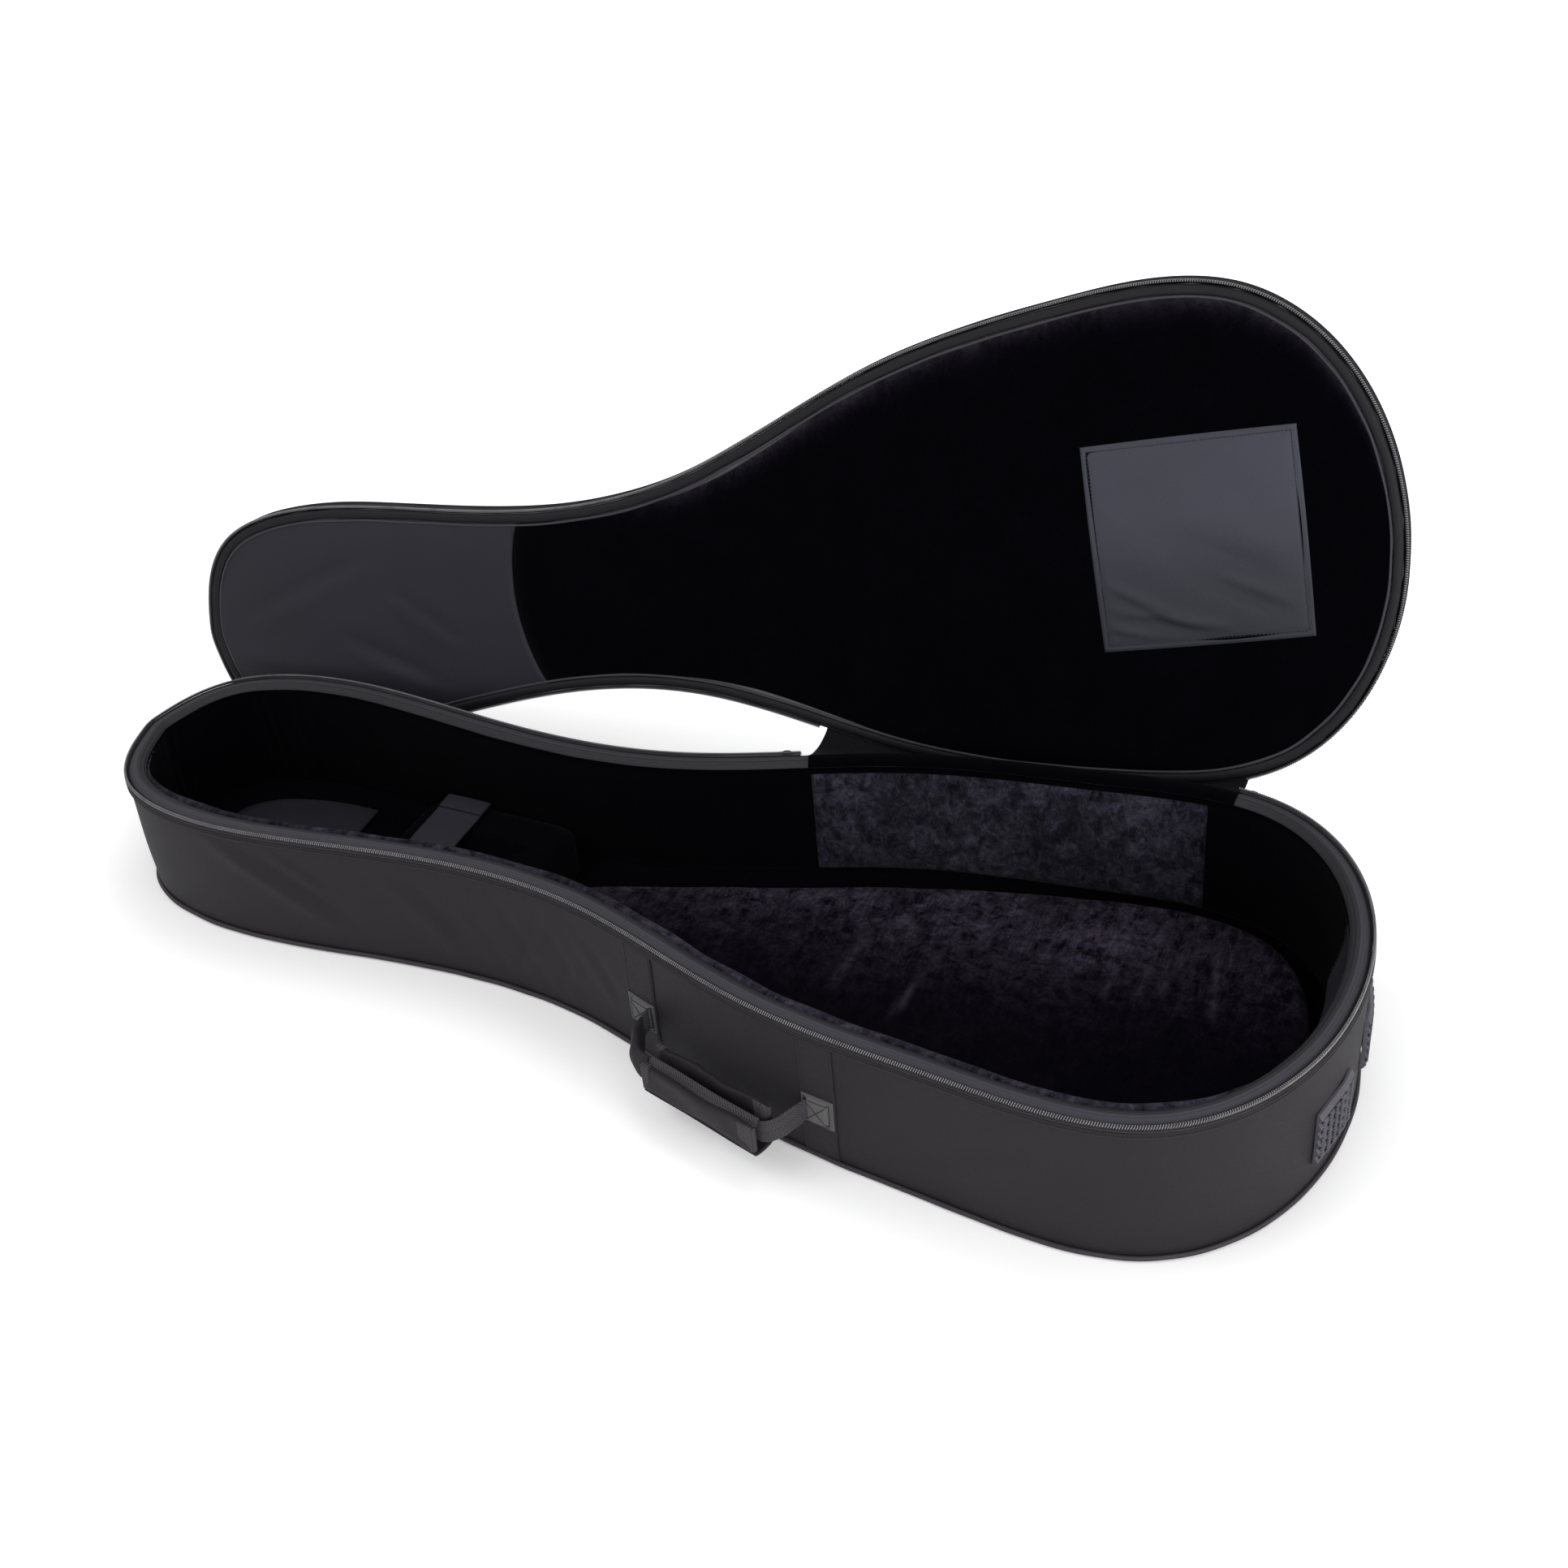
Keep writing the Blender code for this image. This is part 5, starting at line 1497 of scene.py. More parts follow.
def build_grip():
    """The folded grip: its bottom, the webbing that shows inside its fold, and its two flaps."""
    _, _, out, up = handle_axes()
    turn = np.linspace(0.0, math.pi, 17)
    outer = np.column_stack([-0.0128 * np.cos(turn), -0.0052 * np.sin(turn) ** 0.7])
    inner = np.column_stack([0.0095 * np.cos(turn), -0.0018 * np.sin(turn) ** 0.7])
    section = np.vstack([outer, inner])
    u = GRIP_SHIFT + np.linspace(-GRIP_LONG / 2, GRIP_LONG / 2, 70)
    grid = on_handle(u[:, None], GRIP_OUT + section[:, 0], GRIP_FLOOR + section[:, 1])
    grid = grid + up * (0.0004 * np.cos(u * 60.0))[:, None, None]
    bottom = grid_mesh("grip_bottom", grid, "nylon", False, True,
                       (u + GRIP_LONG, np.arange(35) * 0.002))
    dress(settle(bottom, caps=True), "handle", "nylon", "grip_spine")

    u = GRIP_SHIFT + np.linspace(0.003 - GRIP_LONG / 2, GRIP_LONG / 2 - 0.003, 80)
    sway = 0.0008 * np.sin(u * 55.0)
    fold = on_handle(u, 0.0345 + sway, 0.003 + 0.5 * sway)
    flat_strap("grip_webbing_fold", fold, up * 0.62 - out * 0.78, 0.011, 0.0028, "handle")
    grip_flap("front", 1.0, 0.03)
    grip_flap("back", -1.0, 0.037)


# Lid

HEAD_CLOTH_FOLDS = (
    ((-0.58, -0.02), (-0.42, -0.07), 0.0016, 0.01),
    ((-0.46, 0.02), (-0.36, 0.075), 0.0014, 0.009),
    ((-0.4, -0.03), (-0.33, 0.03), 0.001, 0.008),
    ((-0.6, 0.03), (-0.52, 0.08), 0.0012, 0.008),
)
LID_PATCH_FOLDS = (
    ((0.37, 0.06), (0.47, 0.085), 0.0032, 0.006),
    ((0.36, 0.035), (0.44, 0.08), 0.0026, 0.006),
    ((0.355, 0.075), (0.4, 0.088), 0.002, 0.004),
    ((0.46, 0.03), (0.53, 0.065), 0.002, 0.008),
    ((0.42, -0.02), (0.53, 0.01), 0.0016, 0.018),
)
SEAM_ARCH = 0.018
SEAM_HALF = 0.088


def lid_place(flat, height):
    """Points over the closed lid's plane, turned open."""
    return opened(at_height(flat, rim(flat[..., 0]) + height))


def lining_panel(name, x_from, x_to, lift, material, slot, node):
    """A panel of the lid's lining between the outline and the arched seam.

    Points run from the seam to the rounded end; across, they are shares of the half width there.
    """
    edge = carried(LID, np.linspace(-0.5, 8.5, 3000), -0.014, 0.0)
    t = np.sin(np.linspace(0.0, math.pi / 2, 90))
    x = x_from + (x_to - x_from) * t
    half = np.interp(x, edge[:, 0], edge[:, 1])
    half[-1] = 0.0
    y = half[:, None] * np.sin(np.linspace(-1.0, 1.0, 81) * math.pi / 2)
    arch = SEAM_ARCH * (np.minimum(np.abs(y), 0.11) / SEAM_HALF) ** 2
    flat = np.stack([x[:, None] + arch * (1.0 - ease(t, 0.0, 0.6))[:, None], y], axis=-1)
    inset = half[:, None] - np.abs(y)
    grid = lid_place(flat, lift(at_height(flat, 0.0), inset))
    obj = grid_mesh(name, grid, material, uv=flat, flip=x_to > x_from)
    rub_and_highlight = 0.75 * np.exp(-inset / 0.006) * ease(-y, -0.05, 0.08)
    store_rub_and_highlight(obj, rub_and_highlight * ease(x, -0.2, 0.1)[:, None])
    dress(thicken(settle(obj, merge=1e-5, recalc=False)), "lid", slot, node)


def build_lid_lining(sizes):
    """The lid's plush, sunk inside its edge, the smooth cloth at its head end, and their seam."""
    def plush_lift(points, inset):
        puff = 1.0 - np.exp(-inset / 0.01)
        edge = ripple(points, 0.016, 81) * np.exp(-((inset - 0.006) / 0.007) ** 2)
        return (0.003 - 0.0022 * puff + 0.0004 * ripple(points, 0.11, 82) * puff
                + 0.0007 * edge * puff)

    def smooth_lift(points, inset):
        puff = 1.0 - np.exp(-inset / 0.012)
        folds = creases(points[..., 0], points[..., 1], HEAD_CLOTH_FOLDS)
        return 0.003 - 0.0024 * puff + (folds + 0.0005 * ripple(points, 0.08, 83)) * puff

    lining_panel("lid_plush_lining", LID_SEAM_X + 0.0004, 0.6195, plush_lift, "plush", "plush",
                 "lid_lining")
    lining_panel("lid_head_cloth", LID_SEAM_X, -0.6195, smooth_lift, "lining", "nylon_grey",
                 "lid_head_lining")
    y = np.linspace(-SEAM_HALF, SEAM_HALF, 60)
    x = LID_SEAM_X + SEAM_ARCH * (np.abs(y) / SEAM_HALF) ** 2 - 0.0035
    line = lid_place(np.column_stack([x, y]), 0.0006)
    sew("lid_seam_stitches", line, LID_INSIDE, "lid", "nylon_grey", sizes)


def build_lid_patch(sizes):
    """The square patch on the lid's lining: cut cloth, sewn round its edge, with slack folds."""
    (x0, x1), (y0, y1) = LID_PATCH_X, LID_PATCH_Y
    u = shares(70)
    gu, gv = np.meshgrid(u, u, indexing="ij")
    x = x0 + (x1 - x0) * gu + 0.002 * np.sin(math.pi * gv) * (gu - 0.5)
    y = y0 + (y1 - y0) * gv + 0.0016 * np.sin(math.pi * gu) * (gv - 0.5)
    edge = np.minimum(np.minimum(gu, 1.0 - gu), np.minimum(gv, 1.0 - gv)) * 0.2
    puff = 1.0 - np.exp(-np.maximum(edge - 0.005, 0.0) / 0.012)
    flat = np.stack([x, y], axis=-1)
    folds = creases(x, y, LID_PATCH_FOLDS) + 0.0008 * ripple(at_height(flat, 0.0), 0.05, 91)
    seam = 0.0007 * bump(edge, 0.0052, 0.0016)
    height = seam - 0.0014 * puff - np.maximum(folds, -0.0004) * puff
    patch = grid_mesh("lid_square_patch", lid_place(flat, height), "patch",
                      uv=(u * 0.2, u * 0.2), flip=True)
    dress(thicken(patch, 0.0009), "lid", "nylon_grey", "lid_patch")
    inset = 0.0052
    x0, x1, y0, y1 = x0 + inset, x1 - inset, y0 + inset, y1 - inset
    corners = lid_place(np.array([(x0, y0), (x1, y0), (x1, y1), (x0, y1), (x0, y0)]), -0.0003)
    line = resample(corners, 0.003)
    sew("lid_patch_stitches", line, LID_INSIDE, "lid", "nylon_grey", sizes, 1.6)


def build_lid_rim(sizes):
    """The lid's rolled lip, its inner piping and its half of the zipper."""
    span = chain_span(LID)
    roll = oval((-0.0084, 0.0022), (0.0046, 0.0019), 16)
    sweep("lid_rolled_lip", LID, None, 0.004, roll, "lip", "nylon_grey", "lid_lip",
          wobble=0.0004, seed=7)
    cord = oval((-0.015, 0.0012), (0.0013, 0.0012), 16)
    sweep("lid_inner_piping", LID, None, 0.004, cord, "ribbed", "nylon_grey", wobble=0.0004,
          seed=17)
    sweep("lid_zipper_tape", LID, span, 0.004, LID_TAPE, "tape", "zip_tape", "lid_zip_tape",
          wobble=0.0002, seed=8)
    coil("lid_zipper_coil", LID, 0.0023, "lid_zip_chain", sizes)
    for name, height in (("upper", 0.0074), ("lower", 0.012)):
        line, normal = line_on(LID, span, 0.004, 0.0007, height)
        sew("lid_tape_stitches_" + name, line, normal, "lid", "zip_tape", sizes)


def build_lid_cover():
    """The lid's outside: a side strip, a padded top drawn down at its edge, and piping between."""
    stations, along, total = even_stations(LID, 0.0045)
    v = shares(14)
    z = 0.0038 + 0.015 * v
    grid = carried(LID, stations[:, None], -0.0014 + 0.0007 * np.sin(math.pi * v), z, True)
    side = grid_mesh("lid_side_cloth", opened(grid), "nylon", True,
                     uv=(np.append(along, total), z))
    dress(thicken(side), "lid", "nylon")

    def crown(points, share):
        full = ease(share, 0.0, 0.09)
        return (0.0026 * full + 0.0007 * full * ripple(points, 0.14, 95)
                + 0.0004 * full * ripple(points, 0.05, 96))

    top = spine_disc("lid_outer_cloth", LID, 0.0055, 40, -0.0026, 0.0188, "nylon", crown)
    dress(thicken(top), "lid", "nylon", "lid_cover")
    cord = oval((-0.0004, 0.0194), (0.002, 0.002), 10)
    sweep("lid_piping_cord", LID, None, 0.004, cord, "nylon", "nylon", "lid_piping",
          wobble=0.0002, seed=9)


def build_pocket():
    """The accessory pocket outside the lid: a stuffed panel with a gusset, and its piping."""
    (low, high), crown = POCKET_Z, 0.003
    boundary = rounded_path(POCKET_X, POCKET_Y, 0.03, 14)
    middle = np.array([0.5 * sum(POCKET_X), 0.0])
    up, inward = shares(10), shares(40)[1:]
    gusset = scaled(boundary, middle, 1.0 + 0.006 * np.sin(math.pi * up))
    top = scaled(boundary, middle, 1.0 - inward * 0.9999)
    grid = np.concatenate([
        at_height(gusset, low + (high - crown - low) * up),
        at_height(top, high - crown + crown * ease(inward, 0.0, 0.1) ** 0.6),
    ], axis=1)
    flat, height = grid[..., :2], grid[..., 2]
    wave = ripple(grid * (1.0, 1.0, 0.0), 0.06, 97)
    zip_zone = bump(grid[..., 1], POCKET_Y[0] + 0.03, 0.022)
    flat_top = ease(height, high - 0.0012, high)
    height = height + flat_top * (0.0007 * wave - 0.0006) * (1.0 - zip_zone)
    panel = grid_mesh("pocket_cloth", lid_place(flat, height), "nylon", True, uv=flat)
    dress(settle(panel, merge=0.0001), "lid", "nylon", "pocket_panel")

    path = rounded_path((POCKET_X[0] - 0.002, POCKET_X[1] + 0.002),
                        (POCKET_Y[0] - 0.002, POCKET_Y[1] + 0.002), 0.032, 20)
    run = unit(np.roll(path, -1, axis=0) - np.roll(path, 1, axis=0))
    normal = np.column_stack([run[:, 1], -run[:, 0]])
    cord = oval((0.0, low + 0.0019), (0.0016, 0.0016), 10)
    flat = path[:, None, :] + normal[:, None, :] * cord[None, :, :1]
    piping = grid_mesh("pocket_piping_cord", lid_place(flat, cord[:, 1]), "nylon", True, True)
    dress(settle(piping), "lid", "nylon", "pocket_piping")


def build_pocket_zipper(sizes):
    """The pocket's zipper: a tape that dips beside the chain, its coil and two rows of stitches."""
    y = POCKET_Y[0] + 0.03
    ends = (POCKET_X[0] + 0.03, POCKET_X[1] - 0.03)
    u = np.linspace(*ends, 120)
    across = np.linspace(-0.013, 0.013, 27)
    ridge = 0.0342 + 0.0003 * np.abs(across / 0.013) ** 4
    ridge = ridge - 0.0004 * bump(np.abs(across), 0.0075, 0.001) + 0.0007
    flat = np.stack(np.meshgrid(u, across + y, indexing="ij"), axis=-1)
    tape = grid_mesh("pocket_zipper_tape", lid_place(flat, ridge), "tape", uv=(u, across + 0.02),
                     flip=True)
    dress(thicken(tape), "lid", "zip_tape", "pocket_zip_tape")

    x = np.arange(ends[0] + 0.004, ends[1] - 0.004, sizes.coil_pitch)
    line = lid_place(np.column_stack([x, np.full(len(x), y)]), 0.0363)
    turns = np.radians(np.linspace(-60.0, 240.0, 9))
    path = np.column_stack([0.3 * sizes.coil_pitch * np.sin(turns * 0.5), 0.0018 * np.cos(turns),
                            0.0013 * np.sin(turns)])
    shape, faces = tube_shape(path, 0.00036, 5, (0.4, 1, 1, 1, 1, 1, 1, 1, 0.4))
    along = np.broadcast_to(opened_direction((1.0, 0.0, RIM_SLOPE)), line.shape)
    teeth = copies("pocket_zipper_coil", shape, faces, line, along, LID_OUTSIDE, "coil")
    dress(teeth, "lid", "zip_teeth", "pocket_zip_chain")
    for name, shift in (("upper", 0.0105), ("lower", -0.0105)):
        line = lid_place(np.column_stack([u, np.full(len(u), y + shift)]), 0.0351)
        sew("pocket_tape_stitches_" + name, line, LID_OUTSIDE, "lid", "zip_tape", sizes)


# Stage

def stage_material(name, level):
    """A pale matt surface, clean white to the camera; it keeps the shadow but for painted light
    behind the bag.
    """
    material, w, surface, place = shader_base(name, 0.9, 0.1)
    seen = w.add("ShaderNodeLightPath").outputs["Is Camera Ray"]
    grain = w.noise(place["Object"], 3.0, 2.0)
    shade = w.mix(w.ramp(grain, 0.3, 0.7, 0.0, 0.02), (level, level, level, 1.0),
                  (0.97, 0.97, 0.97, 1.0))
    w.feed(surface["Base Color"], w.mix(seen, shade, WHITE))
    surface["Emission Color"].default_value = WHITE
    spread = w.add("ShaderNodeMapping", {"Vector": place["Object"], "Scale": (0.85, 1.25, 1.0)})
    away = w.add("ShaderNodeVectorMath", {0: spread.outputs[0]}, operation="LENGTH")
    glow = w.ramp(away.outputs["Value"], 0.55, 1.45, 0.1 * FLOOR_GLOW, FLOOR_GLOW)
    # Painted light: the floor glows behind the bag, over the shadow under the open lid.
    painted_light_behind = w.ramp(w.split(place["Object"])[1], 0.12, 0.36, 0.0, 0.6 * FLOOR_GLOW)
    w.feed(surface["Emission Strength"], w.times(seen, w.math("MAXIMUM", glow, painted_light_behind)))
    return material


def softbox(name, place, target, size, watts):
    """A rectangular soft light at a place, turned to its target."""
    data = bpy.data.lights.new(name, "AREA")
    data.shape = "RECTANGLE"
    data.size, data.size_y = size
    data.energy = watts
    lamp = linked(name, data)
    lamp.location = place
    lamp.rotation_euler = (Vector(target) - Vector(place)).to_track_quat("-Z", "Y").to_euler()


def build_camera():
    """The photograph's camera, from its place, its yaw, its tilt down and its roll."""
    data = bpy.data.cameras.new("camera")
    data.lens = CAMERA_LENS
    data.sensor_width = 36.0
    data.sensor_fit = "HORIZONTAL"
    data.clip_end = 60.0
    camera = linked("camera", data)
    level = math.cos(CAMERA_DOWN)
    ahead = np.array([math.sin(CAMERA_YAW) * level, math.cos(CAMERA_YAW) * level,
                      -math.sin(CAMERA_DOWN)])
    right = unit(np.cross(ahead, UP))
    down = np.cross(ahead, right)
    c, s = math.cos(CAMERA_ROLL), math.sin(CAMERA_ROLL)
    across, below = c * right + s * down, -s * right + c * down
    turn = Matrix((tuple(across), tuple(-below), tuple(-ahead))).transposed()
    camera.matrix_world = Matrix.Translation(Vector(CAMERA_AT)) @ turn.to_4x4()
    bpy.context.scene.camera = camera
    bpy.context.scene.view_settings.view_transform = "Standard"


def build_stage(stage):
    """The pale floor just under the bag, a white room, four softboxes and the camera."""
    floor = bpy.data.meshes.new("floor")
    corners = [(x * FLOOR_REACH, y * FLOOR_REACH, -0.001)
               for x, y in ((-1, -1), (1, -1), (1, 1), (-1, 1))]
    floor.from_pydata(corners, [], [(0, 1, 2, 3)])
    floor.materials.append(stage_material("Pale floor", 0.86))
    linked("floor", floor)

    world = bpy.data.worlds.new("Soft studio")
    bpy.context.scene.world = world
    world.use_nodes = True
    w = Wiring(world.node_tree)
    back = world.node_tree.nodes["Background"].inputs
    path = w.add("ShaderNodeLightPath").outputs
    seen = w.math("MAXIMUM", path["Is Camera Ray"], path["Is Transmission Ray"])
    strength = w.add("ShaderNodeMix", {0: seen, 2: stage.world_level, 3: 1.0}, data_type="FLOAT")
    back["Color"].default_value = WHITE
    w.feed(back["Strength"], strength.outputs[0])

    softbox("key_softbox", (-1.6, -1.2, 2.6), (0.0, 0.0, 0.1), (1.8, 1.8), stage.key_watts)
    softbox("front_softbox", (1.7, -2.3, 1.1), (0.1, 0.0, 0.1), (1.8, 1.2), stage.front_watts)
    softbox("side_softbox", (2.7, -0.5, 0.9), (0.4, 0.0, 0.1), (1.2, 1.0), stage.side_watts)
    softbox("top_softbox", (0.3, 0.9, 3.0), (0.0, 0.1, 0.1), (2.4, 1.2), stage.top_watts)
    build_camera()


# Add-on

def length_property(name, description, default, least):
    """A length that the user can set."""
    return FloatProperty(name=name, description=description, default=default, min=least,
                         unit="LENGTH")


def colour_property(name, description, default):
    """A colour that the user can set."""
    return FloatVectorProperty(name=name, description=description, default=default, size=3,
                               min=0.0, max=1.0, subtype="COLOR")


def power_property(name, description, default):
    """A lamp's power that the user can set."""
    return FloatProperty(name=name, description=description, default=default, min=0.0,
                         unit="POWER")


class GIGBAG_PG_sizes(bpy.types.PropertyGroup):
    """Sizes of the sewn and moulded detail."""

    stitch_step: length_property(
        "Stitch step", "Distance from one stitch to the next", 0.0036, 0.001)
    stitch_length: length_property(
        "Stitch length", "Length of thread that shows in one stitch", 0.0028, 0.0005)
    thread_radius: length_property(
        "Thread radius", "Radius of the sewing thread", 0.00034, 0.0001)
    coil_pitch: length_property(
        "Coil pitch", "Distance between the loops of the zipper coil", 0.0022, 0.0008)
    coil_wire: length_property(
        "Coil wire", "Radius of the wire that the zipper coil is wound from", 0.00042, 0.0001)
    coil_radius: length_property(
        "Coil radius", "Half the height of the zipper coil", 0.0015, 0.0005)
    rib_pitch: length_property(
        "Rib pitch", "Distance between the ribs of the rim cloth", 0.0035, 0.0008)


class GIGBAG_PG_colours(bpy.types.PropertyGroup):
    """Colours of the bag's materials."""

    nylon: colour_property("Nylon", "Outside cloth", (0.0098, 0.0077, 0.011))
    lining: colour_property(
        "Lining nylon", "Smooth lining at the head end", (0.013, 0.012, 0.0185))
    patch_cloth: colour_property(
        "Patch nylon", "Square patch inside the lid", (0.0315, 0.033, 0.0465))
    rim_cloth: colour_property(
        "Rim cloth", "Ribbed strip on top of the wall", (0.03, 0.0288, 0.0375))
    webbing: colour_property("Webbing", "Handle webbing", (0.031, 0.029, 0.033))
    vinyl: colour_property(
        "Grey patch", "Sewn patches at the handle's ends", (0.078, 0.075, 0.077))
    tape: colour_property("Zipper tape", "Zipper tape", (0.026, 0.0245, 0.03))
    # Pale grey so that the coil's loops read as their highlights: painted highlight.
    coil: colour_property("Zipper coil", "Zipper coil", (0.205, 0.2, 0.21))
    thread: colour_property("Thread", "Thread that shows", (0.085, 0.083, 0.09))
    hardware: colour_property("Zipper metal", "Sliders and pulls", (0.02, 0.02, 0.022))
    rubber: colour_property("Rubber", "Bumpers on the butt end", (0.064, 0.0615, 0.076))


class GIGBAG_PG_stage(bpy.types.PropertyGroup):
    """Light of the studio."""

    world_level: FloatProperty(name="World level", description="Brightness of the white room",
                               default=0.62, min=0.0)
    key_watts: power_property("Key", "Softbox up to the left", 26.0)
    front_watts: power_property("Front", "Softbox in front", 34.0)
    side_watts: power_property("Side", "Softbox past the butt end", 24.0)
    top_watts: power_property("Top", "Softbox overhead", 18.0)


class Undoable:
    """What the operators share: Blender lists them, and they can be undone."""

    bl_options = {"REGISTER", "UNDO"}


class GIGBAG_OT_stage(Undoable, bpy.types.Operator):
    """Set up the floor, the soft light and the photograph's camera"""

    bl_idname = "gig_bag.stage"
    bl_label = "Stage"

    def execute(self, context):
        build_stage(context.scene.gig_bag_stage)
        return {"FINISHED"}


class GIGBAG_OT_materials(Undoable, bpy.types.Operator):
    """Make the shader groups and materials, and give them to the frame's nodes"""

    bl_idname = "gig_bag.materials"
    bl_label = "Materials"

    def execute(self, context):
        build_materials(context.scene.gig_bag_colours)
        return {"FINISHED"}


class GIGBAG_OT_case_sides(Undoable, bpy.types.Operator):
    """Build the side cloth and bottom piping"""

    bl_idname = "gig_bag.case_sides"
    bl_label = "Case sides"

    def execute(self, context):
        build_case_sides(context.scene.gig_bag_sizes)
        return {"FINISHED"}


class GIGBAG_OT_case_base(Undoable, bpy.types.Operator):
    """Build the underside and the plush floor"""

    bl_idname = "gig_bag.case_base"
    bl_label = "Case base"

    def execute(self, context):
        build_case_base()
        return {"FINISHED"}


class GIGBAG_OT_case_lining(Undoable, bpy.types.Operator):
    """Build the plush walls and the roll along the near one"""

    bl_idname = "gig_bag.case_lining"
    bl_label = "Case lining"

    def execute(self, context):
        build_case_lining()
        return {"FINISHED"}


class GIGBAG_OT_far_panel(Undoable, bpy.types.Operator):
    """Build the padded panel on the far wall"""

    bl_idname = "gig_bag.far_panel"
    bl_label = "Far panel"

    def execute(self, context):
        build_far_panel()
        return {"FINISHED"}


class GIGBAG_OT_butt_guard(Undoable, bpy.types.Operator):
    """Build the cloth flap inside the butt end"""

    bl_idname = "gig_bag.butt_guard"
    bl_label = "Butt guard"

    def execute(self, context):
        build_butt_guard(context.scene.gig_bag_sizes)
        return {"FINISHED"}


class GIGBAG_OT_case_rim(Undoable, bpy.types.Operator):
    """Build the rim cloth and the case's half of the zipper"""

    bl_idname = "gig_bag.case_rim"
    bl_label = "Case rim"

    def execute(self, context):
        build_case_rim(context.scene.gig_bag_sizes)
        return {"FINISHED"}


class GIGBAG_OT_zipper_pulls(Undoable, bpy.types.Operator):
    """Build the sliders and pulls"""

    bl_idname = "gig_bag.zipper_pulls"
    bl_label = "Zipper pulls"

    def execute(self, context):
        build_zipper_pulls()
        return {"FINISHED"}


class GIGBAG_OT_hinge(Undoable, bpy.types.Operator):
    """Build the cloth hinge and its end tabs"""

    bl_idname = "gig_bag.hinge"
    bl_label = "Hinge"

    def execute(self, context):
        build_hinge()
        return {"FINISHED"}


class GIGBAG_OT_floor_pad(Undoable, bpy.types.Operator):
    """Build the cushion in the body of the case"""

    bl_idname = "gig_bag.floor_pad"
    bl_label = "Floor pad"

    def execute(self, context):
        build_floor_pad()
        return {"FINISHED"}


class GIGBAG_OT_cradle(Undoable, bpy.types.Operator):
    """Build the neck cradle, its strap and the headstock's cloth"""

    bl_idname = "gig_bag.cradle"
    bl_label = "Cradle"

    def execute(self, context):
        build_cradle(context.scene.gig_bag_sizes)
        build_head_patch(context.scene.gig_bag_sizes)
        return {"FINISHED"}


class GIGBAG_OT_bumpers(Undoable, bpy.types.Operator):
    """Build the rubber pads on the butt end"""

    bl_idname = "gig_bag.bumpers"
    bl_label = "Bumpers"

    def execute(self, context):
        build_bumpers()
        return {"FINISHED"}


class GIGBAG_OT_bands(Undoable, bpy.types.Operator):
    """Build the side bands and the grey sewn patches"""

    bl_idname = "gig_bag.bands"
    bl_label = "Bands"

    def execute(self, context):
        build_bands(context.scene.gig_bag_sizes)
        return {"FINISHED"}


class GIGBAG_OT_handle(Undoable, bpy.types.Operator):
    """Build the carry handle and its folded grip"""

    bl_idname = "gig_bag.handle"
    bl_label = "Handle"

    def execute(self, context):
        build_handle()
        build_grip()
        return {"FINISHED"}


class GIGBAG_OT_lid_lining(Undoable, bpy.types.Operator):
    """Build the lid's plush and headstock linings"""

    bl_idname = "gig_bag.lid_lining"
    bl_label = "Lid lining"

    def execute(self, context):
        build_lid_lining(context.scene.gig_bag_sizes)
        return {"FINISHED"}


class GIGBAG_OT_lid_patch(Undoable, bpy.types.Operator):
    """Build the square patch inside the lid"""

    bl_idname = "gig_bag.lid_patch"
    bl_label = "Lid patch"

    def execute(self, context):
        build_lid_patch(context.scene.gig_bag_sizes)
        return {"FINISHED"}


class GIGBAG_OT_lid_rim(Undoable, bpy.types.Operator):
    """Build the lid's rolled lip and zipper half"""

    bl_idname = "gig_bag.lid_rim"
    bl_label = "Lid rim"

    def execute(self, context):
        build_lid_rim(context.scene.gig_bag_sizes)
        return {"FINISHED"}


class GIGBAG_OT_lid_cover(Undoable, bpy.types.Operator):
    """Build the outside of the lid"""

    bl_idname = "gig_bag.lid_cover"
    bl_label = "Lid cover"

    def execute(self, context):
        build_lid_cover()
        return {"FINISHED"}


class GIGBAG_OT_pocket(Undoable, bpy.types.Operator):
    """Build the accessory pocket outside the lid, and its zipper"""

    bl_idname = "gig_bag.pocket"
    bl_label = "Pocket"

    def execute(self, context):
        build_pocket()
        build_pocket_zipper(context.scene.gig_bag_sizes)
        return {"FINISHED"}


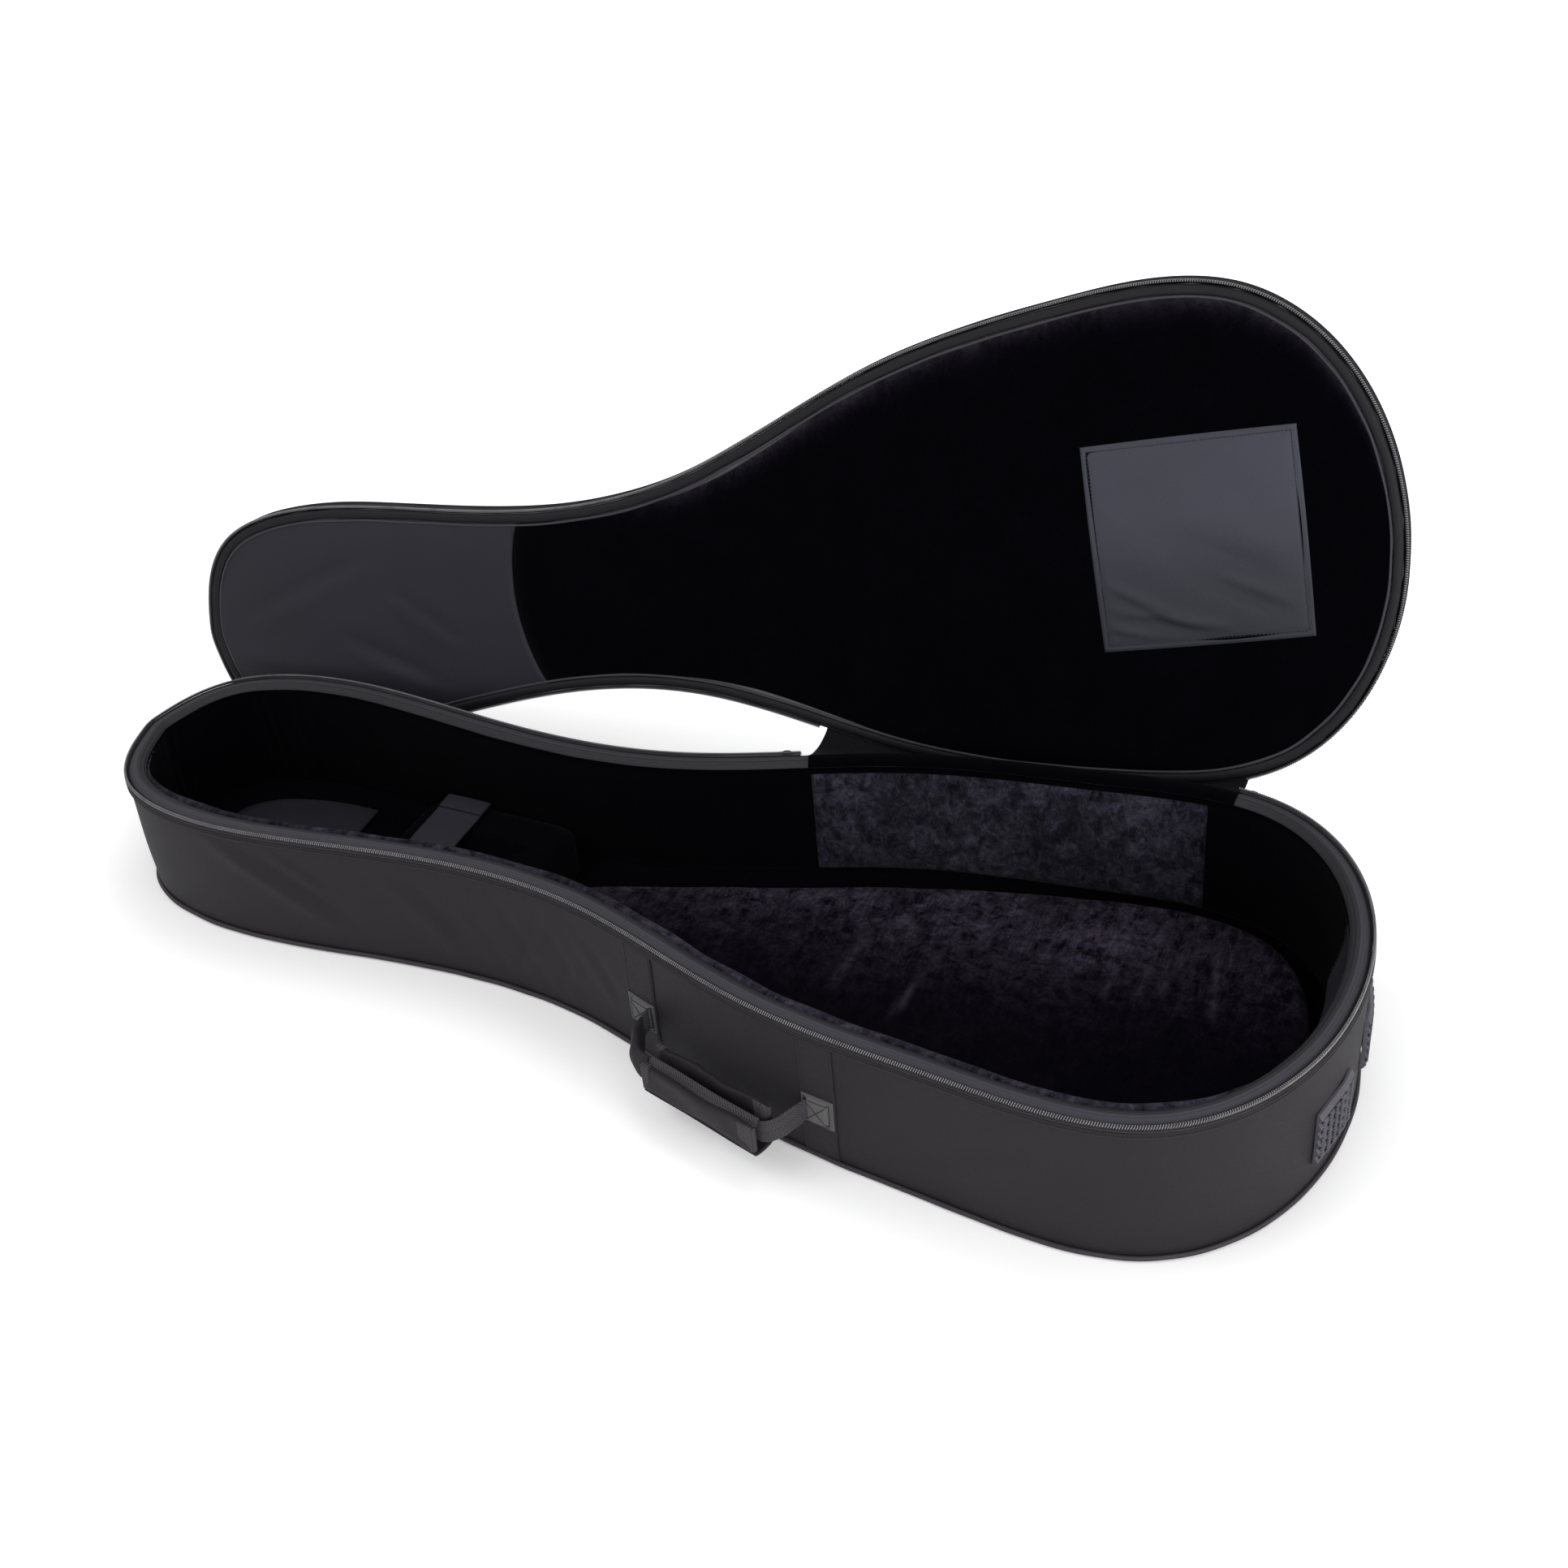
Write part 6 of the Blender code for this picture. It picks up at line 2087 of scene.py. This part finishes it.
# In the order in which they are called
OPERATORS = (
    GIGBAG_OT_stage, GIGBAG_OT_materials, GIGBAG_OT_case_sides, GIGBAG_OT_case_base,
    GIGBAG_OT_case_lining, GIGBAG_OT_far_panel, GIGBAG_OT_butt_guard, GIGBAG_OT_case_rim,
    GIGBAG_OT_zipper_pulls, GIGBAG_OT_hinge, GIGBAG_OT_floor_pad, GIGBAG_OT_cradle,
    GIGBAG_OT_bumpers, GIGBAG_OT_bands, GIGBAG_OT_handle, GIGBAG_OT_lid_lining,
    GIGBAG_OT_lid_patch, GIGBAG_OT_lid_rim, GIGBAG_OT_lid_cover, GIGBAG_OT_pocket,
)


class GIGBAG_PT_panel(bpy.types.Panel):
    """Lists the pieces, sizes and colours of the gig bag"""

    bl_label = "Gig Bag"
    bl_idname = "GIGBAG_PT_panel"
    bl_space_type = "VIEW_3D"
    bl_region_type = "UI"
    bl_category = "Gig Bag"

    def draw(self, context):
        scene = context.scene
        for group in (scene.gig_bag_sizes, scene.gig_bag_colours, scene.gig_bag_stage):
            column = self.layout.column(align=True)
            for name in group.__annotations__:
                column.prop(group, name)
        column = self.layout.column(align=True)
        for operator in OPERATORS:
            column.operator(operator.bl_idname)


CLASSES = (GIGBAG_PG_sizes, GIGBAG_PG_colours, GIGBAG_PG_stage, *OPERATORS, GIGBAG_PT_panel)


def register():
    for cls in CLASSES:
        bpy.utils.register_class(cls)
    bpy.types.Scene.gig_bag_sizes = PointerProperty(type=GIGBAG_PG_sizes)
    bpy.types.Scene.gig_bag_colours = PointerProperty(type=GIGBAG_PG_colours)
    bpy.types.Scene.gig_bag_stage = PointerProperty(type=GIGBAG_PG_stage)


def unregister():
    del bpy.types.Scene.gig_bag_stage
    del bpy.types.Scene.gig_bag_colours
    del bpy.types.Scene.gig_bag_sizes
    for cls in reversed(CLASSES):
        bpy.utils.unregister_class(cls)


def main():
    register()
    for operator in OPERATORS:
        family, name = operator.bl_idname.split(".")
        getattr(getattr(bpy.ops, family), name)()


if __name__ == "__main__":
    main()
